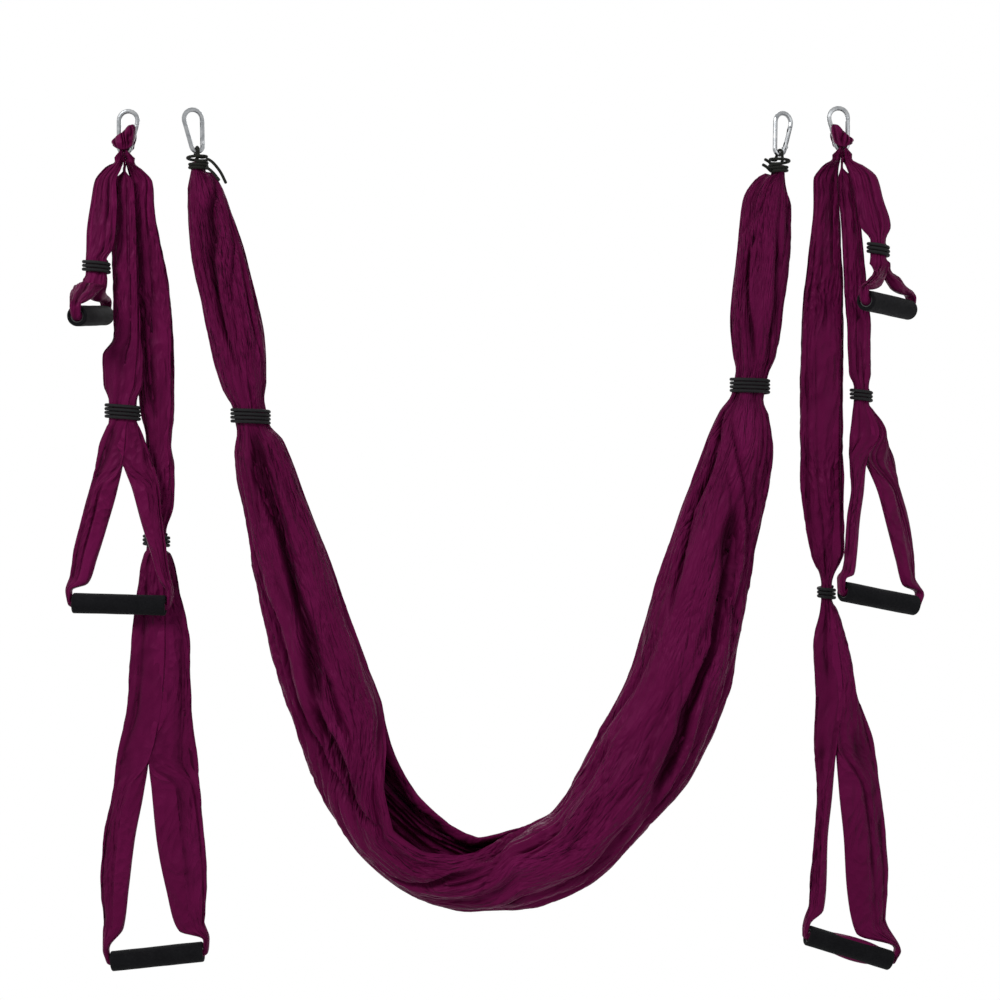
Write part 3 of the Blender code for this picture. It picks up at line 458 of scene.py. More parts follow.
def lining(points, columns, folds, low, high):
    """More of the same cloth, folded inside the closed rows of points, from its last column on."""
    rim = between_columns(points, np.linspace(points.shape[1] - 1, 0, columns))
    middle = points.mean(1, keepdims=True)
    zig = 0.5 - 0.5 * np.cos(2 * pi * folds * np.linspace(0, 1, columns))
    return middle + (rim - middle) * (high - (high - low) * zig)[None, :, None]


# ---- where the hooks hang

HANGERS = {
    "hammock_left": np.array((7.13, 3.17, -58.9)),
    "hammock_right": np.array((880.96, -3.75, -64.37)),
    "left_set": np.array((-100.92, 0.0, -61.53)),
    "right_set": np.array((974.92, 0.0, -57.03)),
}
HOOK_TURNS = {"hammock_left": radians(24), "hammock_right": radians(28)}
ROD_R = 3.5
FOOT_R = 8.5
GRIP_HALF = 70.0
GRIP_R = 15.5
BORE_R = 10.3
CORE_R = 7.9

# ---- straps

# The same tables as the solids, in mm, with across and drop from the hook's foot bend:
# neck: left, right and outer radius over the bend; shoulder: left and right; grip: across, drop
# body: drop, left, right, y and half depth of each row, with "band" for the two rows at its edges
# band: the same for its middle, then turns and tilt in degrees
# split: drop, across, y, half width, half depth and how far it is pushed aside
# left, right: rows of each strand: place along the grip, drop, width and half depth
STRAPS = {
    "left_set_short": dict(
        neck=(-4.6, -1.9, 11.5), shoulder=(-15, -1.9), yaw=83, tilt=5, grip=(-46, 246),
        body=[
            (24, -26, -3, -10, 6.5), (45, -42, -10, -15, 7), (75, -47, -8, -19, 7.5),
            (125, -53, -10, -23, 8), (152, -53.5, -16, -24, 8.5), "band", (191, -58, -21, -24, 12),
        ],
        band=(172.7, -54.2, -22.2, -24, 9, 3, 2),
        split=(200, -41, -24, 17, 20, 0),
        left=[(-28, 210, 28, 19), (-48, 219, 22, 18), (-66, 227, 16, 13)],
        right=[(27, 210, 24, 15), (47, 213, 18, 14), (65, 215, 13, 11)],
    ),
    "left_set_medium": dict(
        neck=(-1.5, 1.5, 9.5), shoulder=(-1.5, 1.5), yaw=0, tilt=-1.5, grip=(-8.1, 676.8),
        body=[
            (26, -1.6, 1.6, 0, 4.5), (42, -18, 14, 0, 5), (140, -21, 20, 0, 7),
            (220, -18, 23, 0, 7), (275, -18, 25.5, 0, 7), (303, -34, 29, 0, 7.5),
            (349, -32.6, 27.4, 0, 8), "band", (410, -28, 23, 0, 9), (437, -38.6, 33.4, 0, 8),
        ],
        band=(388, -25, 19, 0, 9, 4, 2),
        split=(466, 0, 0, 45, 8, -2.6),
        left=[(-23, 500, 42, 8), (-36.5, 550, 41, 8), (-51, 602, 38, 8), (-61, 640, 30, 8)],
        right=[(39.6, 500, 42, 8), (49, 550, 34, 8), (60, 602, 24, 8), (69, 640, 19, 8)],
    ),
    "left_set_long": dict(
        neck=(1.9, 4.6, 11.5), shoulder=(1.9, 15), yaw=0, tilt=6, grip=(45.4, 1210),
        body=[
            (24, 3, 26, 10, 6.5), (42, 6, 40, 16, 7), (75, -1, 41.5, 19, 8), (155, -4, 56, 23, 9),
            (240, 2, 69.4, 24, 9), (373, 17, 72.4, 24, 9), (440, 27.4, 67, 24, 8),
            (465, 24.4, 72.4, 24, 8.5), (526, 24.4, 70.9, 24, 8.5), "band",
            (601, 24.4, 67.9, 24, 9), (660, 12.4, 81.4, 24, 8.5), (740, 4.9, 94.9, 24, 8),
            (826, -1.1, 97, 24, 8),
        ],
        band=(581.5, 28.4, 59.4, 24, 8, 3, 0),
        split=(916, 45.8, 24, 61.7, 8, -13.9),
        left=[
            (-43.5, 955, 48, 8), (-58.2, 1030, 49, 8), (-64.9, 1105, 44, 8), (-66.8, 1165, 32, 8),
        ],
        right=[(27.8, 955, 74, 8), (35.3, 1030, 74, 8), (44.3, 1105, 63, 8), (53, 1165, 42, 8)],
    ),
    "right_set_short": dict(
        neck=(1.9, 4.6, 11.5), shoulder=(1.9, 15), yaw=53, tilt=-2, grip=(64.3, 234.8),
        body=[
            (24, 4, 30, -10, 6.5), (42, 10, 50, -15, 7), (75, 16, 59, -19, 7.5),
            (118, 23.8, 70.3, -23, 8), "band", (172, 36, 69, -24, 9),
        ],
        band=(151.5, 38.4, 62.4, -24, 9, 3, 7),
        split=(184, 57, -24, 29, 9, 0),
        left=[(-34, 199, 24, 10), (-52, 207, 18, 10), (-66, 211, 12, 10)],
        right=[(26, 200, 26, 10), (50, 208, 16, 10), (66, 211, 11, 10)],
    ),
    "right_set_medium": dict(
        neck=(-1.5, 1.5, 9.5), shoulder=(-1.5, 1.5), yaw=30, tilt=-10, grip=(56, 672.8),
        body=[
            (26, -1.6, 1.6, 0, 4.5), (42, -6, 18, 0, 5), (120, -1, 30, 0, 6),
            (210, 2.8, 38.8, 0, 7),
            (260, 5.8, 44.8, 0, 7.5), (335, 8.8, 44.8, 0, 8), "band", (390, 14.8, 49.3, 0, 9),
            (426, 10.3, 68.8, 0, 8.5),
        ],
        band=(367.5, 17, 41, 0, 8.5, 3, 3),
        split=(459, 45.4, 0, 42, 8, -12.8),
        left=[(-42.4, 508, 24, 8), (-50, 555, 23, 8), (-55.4, 605, 23, 8), (-60, 632, 22, 8)],
        right=[(19, 510, 42, 8), (36.4, 562, 42, 8), (50, 612, 36, 8), (58, 648, 26, 8)],
    ),
    "right_set_long": dict(
        neck=(-4.6, -1.9, 11.5), shoulder=(-15, -1.9), yaw=12, tilt=-18.4,
        grip=(14, 1201.5),
        body=[
            (24, -28, -3, 10, 6.5), (42, -40.7, -3, 16, 7), (78, -40.7, -0.2, 19, 8),
            (163, -49.7, 4.3, 23, 9), (255, -60.2, 7.3, 24, 9), (360, -61.7, 5.8, 24, 9),
            (487, -60.2, 7.3, 24, 9), (601, -45.2, 8.8, 24, 8.5), "band", (690, -31, -3, 24, 8.5),
            (744, -40.7, 14.8, 24, 8.5), (811, -37.7, 26.8, 24, 8),
        ],
        band=(665, -28.7, -10.7, 24, 8, 3, 0),
        split=(890, 7.8, 24, 47, 8, -14.3),
        left=[(-39, 965, 26, 8), (-45, 1040, 22, 8), (-49, 1100, 27, 8), (-53, 1140, 26, 8)],
        right=[(17, 960, 66, 8), (26, 1035, 68, 8), (30, 1102, 68, 8), (36, 1170, 52, 8)],
    ),
}
STRAP_FLAT_WIDTHS = {"short": 0.18, "medium": 0.22, "long": 0.28}
BAND_STEP = 5.6
BAND_R = 2.5
BAND_GAP = 0.4
BAND_NEAR = 18
ROW_STEP = 5.2
OUTER, INNER, LINING = 64, 26, 40
CLOTH_GAP = 0.45


def outer_inner(outer_part, inner_part):
    """Columns round one leg of a loop: its outer side, then back along its inner side."""
    s = np.linspace(0, 1, OUTER)
    q = np.linspace(0, 1, INNER + 2)[1:]
    return np.concatenate([outer_part(s), inner_part(q)])


def grip_axes(strap):
    yaw, tilt = radians(strap["yaw"]), radians(strap["tilt"])
    along = np.array([cos(yaw), sin(yaw), 0])
    toward = np.array([sin(yaw), -cos(yaw), 0])
    return along, toward, tilt


def body_leg(row, start, sense):
    """Half of the gathered body: an arc of its outline and a folded way back across it."""
    drop, left, right, y, depth = row
    middle = np.array([(left + right) / 2, y, -drop])
    half_w = (right - left) / 2

    def rim(angle):
        return middle + np.stack([half_w * np.cos(angle), depth * np.sin(angle), 0 * angle], -1)

    first, last = rim(np.array([start, start + sense * pi]))
    out = (rim(np.array([start + sense * pi / 2]))[0] - middle) * 0.5

    def inner(q):
        folds = (0.5 - 0.5 * np.cos(2 * pi * 3 * q)) * (1 - 0.35 * np.cos(2 * pi * q + 1))
        return last + (first - last) * q[:, None] + out * folds[:, None]

    return outer_inner(lambda s: rim(start + sense * pi * s), inner)


def split_leg(strap, sense):
    drop, x, y, half_w, half_d, aside = strap["split"]
    along, toward, _ = grip_axes(strap)
    middle = np.array([x, y, -drop])
    start = -pi / 2

    def rim(angle):
        u = half_w * np.cos(angle) + aside * np.abs(np.sin(angle))
        return middle + along * u[:, None] - toward * (half_d * np.sin(angle))[:, None]

    first, last = rim(np.array([start, start + sense * pi]))
    return outer_inner(
        lambda s: rim(start + sense * pi * s),
        lambda q: last + np.outer(q, first - last) + np.outer(np.sin(pi * q), (0, 0, 4.0)),
    )


def strand_rings(strap):
    """The strands and the way through the grip, down the left and up the right."""
    along, toward, tilt = grip_axes(strap)
    across, drop0 = strap["grip"]
    middle = np.array([across, strap["split"][2], -drop0])
    stations = [(u, drop0 - d, w / 2, b, None) for u, d, w, b in strap["left"]]
    # the turn round the tube's end: out along the grip, up, two half depths and the heading
    ends = [
        (GRIP_HALF + 6.2, GRIP_R + 3, 5.2, 9.5, -90), (GRIP_HALF + 5.0, 6, 4.4, 8, -90),
        (GRIP_HALF + 3.2, -0.5, 4.4, 7.2, -135), (GRIP_HALF - 4, 0, CORE_R, CORE_R, -180),
    ]
    for side in (-1, 1):
        for out, up, a, b, heading in ends[::-side]:
            angle = radians(heading) + tilt + pi if side > 0 else pi - radians(heading) + tilt
            u = side * out * cos(tilt) - up * sin(tilt)
            z = side * out * sin(tilt) + up * cos(tilt)
            stations.append((u, z, a, b, angle))
    stations += [(u, drop0 - d, w / 2, b, None) for u, d, w, b in reversed(strap["right"])]
    rings = []
    for i, (u, z, a, b, angle) in enumerate(stations):
        if angle is None:
            before, after = stations[max(i - 1, 0)], stations[min(i + 1, len(stations) - 1)]
            angle = atan2(after[1] - before[1], after[0] - before[0])
        out = along * sin(angle) + np.array([0, 0, -cos(angle)])
        here = middle + along * u + np.array([0, 0, z])

        def rim(turn):
            return here + np.outer(a * np.sin(turn), out) + np.outer(b * np.cos(turn), toward)

        rings.append(outer_inner(lambda s: rim(pi * s), lambda q: rim(pi + pi * q)))
    return rings


def neck_rings(strap, angles):
    left, right, crest = strap["neck"]
    wide_left, wide_right = strap["shoulder"]
    far = max(abs(left), abs(right))
    rise = FOOT_R - sqrt((FOOT_R - ROD_R) ** 2 - far ** 2)
    inner = rise + CLOTH_GAP + 0.35
    rings = []
    for angle in angles:
        turn = radians(angle)
        upper = max(0.0, cos(turn))
        widen = max((abs(angle) - 60) / 90, 0)
        edge_left = left + (wide_left - left) * widen
        edge_right = right + (wide_right - right) * widen
        outer = inner + 6 + (crest - inner - 6) * upper
        middle, half_w = (edge_left + edge_right) / 2, (edge_right - edge_left) / 2
        radius, half_t = (inner + outer) / 2, (outer - inner) / 2

        def rim(a):
            r = radius + half_t * np.sin(a)
            return np.stack([middle + half_w * np.cos(a), -r * sin(turn), r * cos(turn)], -1)

        rings.append(outer_inner(lambda s: rim(pi * s), lambda q: rim(pi + pi * q)))
    return rings


def strap_body_rows(strap):
    drop, left, right, y, depth, turns, tilt = strap["band"]
    reach = (turns * BAND_STEP + 2 * BAND_R) / 2 + 1.5
    reach += (right - left) / 2 * sin(radians(abs(tilt)))
    made = []
    for row in strap["body"]:
        if row == "band":
            made += [(drop - reach, left, right, y, depth), (drop + reach, left, right, y, depth)]
        else:
            made.append(row)
    return made


def build_strap(name, strap, seed):
    set_name, kind = name.rsplit("_", 1)
    wide_left, wide_right = strap["shoulder"]
    rows = [(14, wide_left, wide_right, 0, 11.5), *strap_body_rows(strap)]
    yaw = radians(strap["yaw"])
    legs = []
    for sense, angles in ((-1, (0, 20, 60, 105, 150)), (1, (0, -20, -60, -105, -150))):
        rings = neck_rings(strap, angles)
        for i, row in enumerate(rows):
            start = (yaw - pi / 2) * i / len(rows)
            rings.append(body_leg(row, start, sense))
        rings.append(split_leg(strap, sense))
        legs.append(rings)
    keys = np.array(legs[0] + strand_rings(strap) + legs[1][::-1])
    strand_from, strand_to = len(legs[0]), len(keys) - len(legs[1])
    step = np.linalg.norm(np.diff(keys.mean(1), axis=0), axis=1)
    place = np.concatenate([[0], np.cumsum(np.maximum(step, 1.2))])
    length = place[-1]
    fine = set(np.linspace(0, length, int(length / ROW_STEP) + 1))
    for k in (*range(strand_from + 2, strand_to - 2), 0, 1, 2, len(keys) - 2, len(keys) - 1):
        fine |= set(np.linspace(place[max(k - 1, 0)], place[k], 5))
    at = np.array(sorted(fine))
    at = at[np.concatenate([[True], np.diff(at) > 0.4])]
    grid = smooth_between(place, keys, at)

    rng = np.random.default_rng(seed)
    centre = grid.mean(1, keepdims=True)
    normal = grid_normals(grid, centre)
    count = grid.shape[1]
    outer_share = np.linspace(0, 1, count) * (count - 1) / (OUTER - 1)
    u, s = np.meshgrid(at, outer_share, indexing="ij")
    round_it = np.linalg.norm(np.diff(grid[:, :OUTER], axis=1), axis=2).sum(1)
    metric = s * round_it[:, None]
    on_outer = unit((OUTER - 1 - np.arange(count)) / 4 + 1) * unit(np.arange(count) / 3 + 0.25)

    # how loose the cloth is along the loop: held over the hook, at the band and in the grip
    band_drop = strap["band"][0]
    band_at = [
        place[i] for i in range(len(keys))
        if not strand_from <= i < strand_to
        and abs(keys[i, :, 2].mean() + band_drop) < BAND_NEAR
    ]
    loose = np.clip((np.minimum(at, length - at) - place[4] * 0.3) / 40, 0.1, 1)
    gripped = unit(np.minimum(at - place[strand_from + 3], place[strand_to - 4] - at) / 8)
    loose *= 1 - 0.85 * gripped
    for near in band_at:
        loose *= 1 - 0.5 * np.exp(-((at - near) / 10) ** 2)
    loose = loose[:, None]

    thin = strap["band"][4]
    main = pleats(rng, u, s, 3.3, 0.34, 480)
    small = pleats(rng, u, s, 9, 0.5, 300)
    swell = ripples(rng, 9, u, metric, 170, 42, 0.3)
    amount = 0.6 + 0.4 * ripples(rng, 7, u, s * 90, 150, 60, 0.5)
    depth = 0.58 * thin * main ** 1.2 * np.clip(amount, 0.25, 1)
    depth += 0.12 * thin * small * unit(amount)
    crease = 1 - np.abs(ripples(rng, 14, u, metric, 60, 17, 0.7))
    depth += 0.9 * unit(crease - 0.55) * unit(amount)
    depth += 0.22 * thin * crumples(rng, 6, u, metric, 22, 0.7)
    depth = depth * loose * on_outer
    moved = grid - normal * depth[..., None] + normal * (0.9 * swell * loose * on_outer)[..., None]
    moved[:, -1] = moved[:, 0]
    # painted shade: deeper fold valleys get lower values, which darken the cloth there, and the
    # lining inside gets a fixed darker value
    fold_shade = 1 - unit(depth / (0.5 * thin))
    inside = lining(moved, LINING, 9, 0.25, 0.84)
    moved = np.concatenate([moved, inside], 1)
    fold_shade = np.concatenate([fold_shade, np.full(inside.shape[:2], 0.3)], 1)
    cut_width = STRAP_FLAT_WIDTHS[kind]
    flat = flat_places(at * MM, np.linspace(0, 1, moved.shape[1]) * cut_width)[..., ::-1]
    piece = grid_object(f"{name}_cloth", (moved + HANGERS[set_name]) * MM, flat, NYLON, fold_shade)
    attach(piece, f"{name}_loop")
    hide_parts(f"{name}_strap")


# ---- hammock

# Across and drop from the nearer hook's foot bend, width, depth and how far the inner side opens
HAMMOCK_LEFT_ROWS = [
    (2, 16.5, 20, 20, 0), (2, 28, 20, 20, 0),
    (4, 34, 32, 26, 0), (9, 52, 51, 34, 0), (18.4, 95, 67, 42, 0), (36.4, 178, 84, 50, 0),
    (57.4, 268, 85, 52, 0), (70.9, 352, 68, 42, 0), (77.2, 381.3, 50, 32, 0),
    (83.6, 412.7, 50, 32, 0), (92, 445, 80, 44, 0), (119, 545, 102, 60, 0),
    (155, 673, 126, 80, 0), (195.4, 808, 135, 100, 0.1),
    (240.4, 931, 131, 120, 0.4), (288.4, 1010, 127, 132, 0.8), (356, 1066, 123, 140, 1),
    (425, 1086, 114, 145, 1),
]
HAMMOCK_RIGHT_ROWS = [
    (-378.5, 1071, 120, 145, 1), (-309.5, 1040.6, 120, 140, 0.9), (-249.5, 972.6, 128, 132, 0.5),
    (-192, 887.6, 150, 120, 0.2), (-150, 788.6, 153, 105, 0), (-121, 672.6, 146, 92, 0),
    (-90, 552.6, 125, 78, 0), (-60.5, 442.6, 105, 60, 0), (-52, 390, 78, 44, 0),
    (-47.4, 361.7, 50, 32, 0), (-41.6, 330.3, 50, 32, 0), (-38, 302, 66, 40, 0),
    (-34, 240, 81, 50, 0), (-24.5, 150, 81, 50, 0), (-18.5, 75, 76, 44, 0), (-11.5, 48, 56, 36, 0),
    (-5, 35, 34, 26, 0), (-2, 28, 20, 20, 0), (-2, 16.5, 20, 20, 0),
]
HAMMOCK_BANDS = {"left": (80.4, 397, 50, 32), "right": (-44.5, 346, 50, 32)}
HAMMOCK_FLAT = (1.5, 2.5)

# Half angles of the front and back lips from the inner side, in degrees, against mm along the cloth
FRONT_LIP = [
    (0, 3), (760, 3), (880, 8), (930, 30), (985, 70), (1045, 94), (1100, 90), (1150, 74),
    (1190, 50), (1225, 32), (1255, 8), (1300, 3), (2500, 3),
]
BACK_LIP = [(0, 3), (850, 3), (1000, 8), (1250, 8), (1350, 3), (2500, 3)]

# How far the inner side sags towards the outer one, in mm
INNER_SAG = [
    (0, 0), (860, 0), (945, 14), (1037, 26), (1125, 32), (1197, 29), (1268, 27), (1343, 22),
    (1434, 9), (1520, 0), (2500, 0),
]

# The large folds of the front: points (across, drop) in mm, depth, half width and the steep side:
# 1 towards the inner side of the curve, -1 towards the outer side, 0 both
LARGE_FOLDS = [
    ([(39, 106), (37, 147), (39, 193), (32, 225), (39, 271), (51, 327), (67, 381)], 13, 9, 1),
    ([(58, 161), (67, 193), (64, 244), (67, 298)], 8, 6, 1),
    ([(76, 225), (94, 316), (106, 384)], 7, 6, -1),
    ([(12, 193), (28, 280), (39, 334)], 6, 5, 1),
    ([(98, 500), (102, 534), (121, 582), (136, 620), (140, 653), (155, 701), (168, 749),
      (178, 797), (187, 845), (195, 890)], 26, 11, 0),
    ([(88, 500), (98, 560), (102, 620)], 9, 5, 1),
    ([(86, 672), (102, 740), (122, 797)], 13, 7, 1),
    ([(107, 720), (129, 773), (141, 822), (153, 869), (174, 921), (207, 989),
      (242, 1046)], 23, 9, 1),
    ([(183, 870), (203, 926), (227, 974), (260, 1050), (284, 1070)], 25, 10, 1),
    ([(193, 812), (212, 859), (231, 907), (246, 960)], 17, 9, 1),
    ([(300, 1146), (356, 1152), (384, 1140), (432, 1131)], 19, 10, 0),
    ([(456, 1094), (465, 1118), (441, 1150), (428, 1166), (394, 1179)], 13, 8, 1),
    ([(812, 600), (804, 691), (794, 732), (786, 795), (762, 846), (742, 898), (737, 935),
      (721, 971), (701, 1006), (690, 1040)], 27, 12, 0),
    ([(814, 423), (796, 448), (788, 495), (773, 536), (747, 593), (737, 645), (726, 691),
      (716, 743)], 14, 7, -1),
    ([(804, 453), (814, 505), (825, 557), (832, 619), (829, 670)], 9, 6, 1),
    ([(794, 531), (804, 573), (808, 624)], 8, 5, 1),
    ([(845, 531), (840, 609), (832, 670), (825, 732)], 8, 5, 1),
    ([(814, 660), (807, 712), (814, 763), (804, 831)], 8, 5, -1),
    ([(718, 846), (711, 893), (685, 945), (664, 1001), (612, 1068)], 8, 9, -1),
    ([(645, 1085), (607, 1122), (566, 1146), (525, 1170)], 15, 10, 1),
    ([(552, 1062), (510, 1100), (470, 1150)], 9, 8, -1),
    ([(832, 202), (830, 255), (835, 316), (841, 378)], 11, 8, -1),
    ([(874, 176), (879, 228), (874, 290), (861, 369)], 9, 7, 1),
    ([(824, 176), (832, 206), (850, 180), (867, 132)], 6, 6, 0),
    ([(889, 96), (894, 167), (888, 220)], 6, 5, 1),
    ([(862, 85), (841, 127), (830, 170)], 6, 6, 1),
]

# Broad smooth panels: mm along, half length, place round the cloth, half width and how smooth
PANELS = [
    (1760, 260, 0.80, 0.085, 0.88), (1560, 150, 0.82, 0.10, 0.7), (740, 210, 0.875, 0.075, 0.85),
    (1090, 90, 0.80, 0.10, 0.75), (230, 120, 0.78, 0.05, 0.5),
]
HAMMOCK_ROWS = 355
ROUND, SECOND, THIRD = 160, 66, 52


def hammock_keys():
    rows = [
        (HANGERS[f"hammock_{which}"] + (a, 0, -d), (w / 2, t / 2, o))
        for which, table in (("left", HAMMOCK_LEFT_ROWS), ("right", HAMMOCK_RIGHT_ROWS))
        for a, d, w, t, o in table
    ]
    middles, sizes = (np.array(part) for part in zip(*rows))
    return middles, sizes, distances(middles)


def build_hammock(seed):
    middles, sizes, place = hammock_keys()
    at = np.linspace(0, place[-1], HAMMOCK_ROWS)
    middle = smooth_between(place, middles, at)
    half_w, half_d, trough = smooth_between(place, sizes, at).T
    along = np.gradient(middle, axis=0)
    along[:, 1] = 0
    along[:3] = (0, 0, -1)
    along[-3:] = (0, 0, 1)
    along /= np.linalg.norm(along, axis=1, keepdims=True)
    out = np.stack([along[:, 2], 0 * at, -along[:, 0]], -1)
    half_w = half_w * (1 + 0.25 * trough)
    middle = middle - out * (half_w * 0.2 * trough)[:, None]
    front = np.radians(along_table(FRONT_LIP, at))
    back = np.radians(along_table(BACK_LIP, at))

    s = np.linspace(0, 1, ROUND)[None]
    arc = (2 * pi - back - front)[:, None]
    turned = pi + back[:, None] + s * arc
    across = np.cos(turned) * half_w[:, None]
    deep = np.sin(turned) * half_d[:, None]
    outer = middle[:, None] + out[:, None] * across[..., None]
    outer[..., 1] -= deep
    sag = along_table(INNER_SAG, at)[:, None] * unit(-np.cos(turned)) ** 1.5
    outer = outer + out[:, None] * sag[..., None]

    rng = np.random.default_rng(seed)
    u, place_round = np.broadcast_arrays(at[:, None], s)
    round_it = np.linalg.norm(np.diff(outer, axis=1), axis=2).sum(1)[:, None]
    smoothness = np.zeros_like(u, dtype=float)
    for mid, half_length, where, half_width, strength in PANELS:
        near = np.exp(-((u - mid) / half_length) ** 4 - ((place_round - where) / half_width) ** 4)
        smoothness = np.maximum(smoothness, strength * near)
    thick = np.minimum(half_w, half_d)[:, None]
    main = pleats(rng, u, place_round, 15, 0.5, 700)
    small = pleats(rng, u, place_round, 34, 0.6, 420)
    amount = np.clip(0.6 + 0.5 * ripples(rng, 9, u, place_round * 330, 260, 70, 0.4), 0.1, 1.1)
    rough = 1 - smoothness
    depth = 0.20 * thick * main * amount * rough
    depth += 0.060 * thick * small * (0.25 + 0.75 * rough) * amount
    for points, deep, width, steep in LARGE_FOLDS:
        knots = []
        for x, drop in points:
            away = (x, 0, -drop) - middle
            i = int(np.argmin(np.hypot(away[:, 0], away[:, 2])))
            share = (away[i, 0] * out[i, 0] + away[i, 2] * out[i, 2]) / half_w[i]
            turn = pi + acos(np.clip(share, -0.97, 0.97))
            knots.append((at[i], (turn - back[i]) / (2 * pi - back[i] - front[i])))
        places, rounds = zip(*sorted(knots))
        line = np.interp(u, places, rounds) + 0.005 * np.sin(u / 23 + deep)
        ends = unit((u - places[0] + 30) / 80) * unit((places[-1] + 30 - u) / 80)
        width = width * (0.85 + 0.3 * np.sin(u / 61 + deep)) * (0.4 + 0.6 * ends)
        aside = (place_round - line) * round_it / width
        if steep:
            aside = np.where(aside * steep > 0, aside / 0.35, aside * 0.8)
        form = np.exp(-np.abs(aside) ** (1.5 if steep else 3.0))
        dent = deep * ends * form
        depth = np.maximum(depth, dent) + 0.25 * np.minimum(depth, dent)
    depth = np.minimum(depth, 0.66 * thick)
    metric = place_round * round_it
    crease = 1 - np.abs(ripples(rng, 16, u, metric, 75, 24, 0.75))
    crossing = 1 - np.abs(ripples(rng, 12, u, metric, 34, 30, 1.2))
    where = unit(ripples(rng, 8, u, metric, 200, 130, 1.0) + 0.45)
    slack = np.clip(thick / 40, 0.35, 1)
    depth += 3.0 * unit(crease - 0.62) * (0.4 + 0.6 * where) * slack
    depth += 3.4 * unit(crossing - 0.66) * where * slack
    depth += 3.6 * crumples(rng, 7, u, metric, 34, 0.75) * slack * (0.35 + 0.65 * rough)
    swell = ripples(rng, 10, u, metric, 230, 85, 0.5) * 2.2 * slack
    normal = grid_normals(outer, middle[:, None])
    lips = unit(np.minimum(place_round, 1 - place_round) / 0.012)
    moved = outer - normal * ((depth - swell) * (0.3 + 0.7 * lips))[..., None]
    # painted shade: deep fold valleys get low values, which darken the cloth there
    fold_shade = 1 - unit(depth / (0.42 * thick))

    # the second and third layers, gathered inside the first, from the back lip inwards
    def inside(first, last, columns, scale):
        rim = between_columns(moved, np.linspace(first, last, columns) * (ROUND - 1))
        return middle[:, None] + (rim - middle[:, None]) * scale[..., None]

    t2 = np.linspace(1, 0, SECOND)[None]
    zig2 = 0.5 - 0.5 * np.cos(2 * pi * 15 * t2 + 0.8 * np.sin(at[:, None] / 130))
    deep2 = (0.80 - 0.62 * trough)[:, None]
    scale2 = 0.92 - 0.50 * zig2 * deep2 * (0.6 + 0.4 * np.sin(pi * t2))
    second = inside(0.96, 0.0, SECOND, scale2)
    t3 = np.linspace(0, 1, THIRD)[None]
    zig3 = 0.5 - 0.5 * np.cos(2 * pi * 12 * t3)
    low3, high3 = (0.08 + 0.52 * trough)[:, None], (0.62 + 0.20 * trough)[:, None]
    third = inside(0.14, 0.86, THIRD, low3 + (high3 - low3) * zig3)
    # painted shade of the inner layers: darker inside the gathered arms than in the open trough,
    # and the second layer darker where its pleats are drawn in furthest
    bright = (0.25 + 0.40 * trough)[:, None]
    shade = np.concatenate([np.repeat(bright, THIRD, 1), bright + 0.3 * (1 - zig2), fold_shade], 1)
    points = np.concatenate([third, second, moved], axis=1)
    flat = flat_places(at * MM, np.linspace(0, 1, points.shape[1]) * HAMMOCK_FLAT[0])[..., ::-1]
    piece = grid_object("hammock_sheet", points * MM, flat, NYLON, shade)
    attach(piece, "hammock")
    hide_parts("hammock_cloth")


# ---- cords: bands and ropes

CORD_SIDES = 12
CORD_END = [(0.0, 1.0), (0.2, 0.93), (0.45, 0.72), (0.62, 0.35)]
BAND_POINTS = 40
BAND_END = 5
BAND_SLACK = 0.12


def cord_object(name, points, radius, stuff):
    """A round cord with domed ends along points, in mm."""
    points = np.array(points, float)
    step = np.linalg.norm(np.diff(points, axis=0), axis=1)
    keep = np.concatenate([[True], step > 0.05])
    points = points[keep]
    place = distances(points)
    along = np.gradient(points, axis=0)
    along /= np.linalg.norm(along, axis=1, keepdims=True)
    side = np.cross(along[0], (0.3, 0.2, 0.93))
    side /= np.linalg.norm(side)
    turn = np.linspace(0, 2 * pi, CORD_SIDES + 1)
    rings, flats = [], []
    for i, (here, ahead) in enumerate(zip(points, along)):
        side = side - ahead * side.dot(ahead)
        side /= np.linalg.norm(side)
        other = np.cross(ahead, side)
        ring = np.outer(np.cos(turn), side) + np.outer(np.sin(turn), other)
        shape = CORD_END if i == len(points) - 1 else CORD_END[:1]
        if i == 0:
            shape = [(-shift, share) for shift, share in reversed(CORD_END)]
        for shift, share in shape:
            rings.append(here + ahead * shift * radius + ring * radius * share)
            ring_place = np.full(CORD_SIDES + 1, (place[i] + shift * radius) * MM)
            flats.append(np.stack([turn * radius * MM, ring_place], -1))
    return grid_object(name, np.array(rings) * MM, np.array(flats), stuff, caps=True)


def smooth_line(points, steps):
    """Points of a smooth curve through the given ones."""
    points = np.array(points, float)
    padded = np.concatenate([[2 * points[0] - points[1]], points, [2 * points[-1] - points[-2]]])
    made = []
    for i in range(len(points) - 1):
        a, b, c, d = padded[i:i + 4]
        for k in range(steps):
            t = k / steps
            made.append(0.5 * (2 * b + (c - a) * t + (2 * a - 5 * b + 4 * c - d) * t ** 2
                               + (3 * b - a - 3 * c + d) * t ** 3))
    made.append(points[-1])
    return np.array(made)


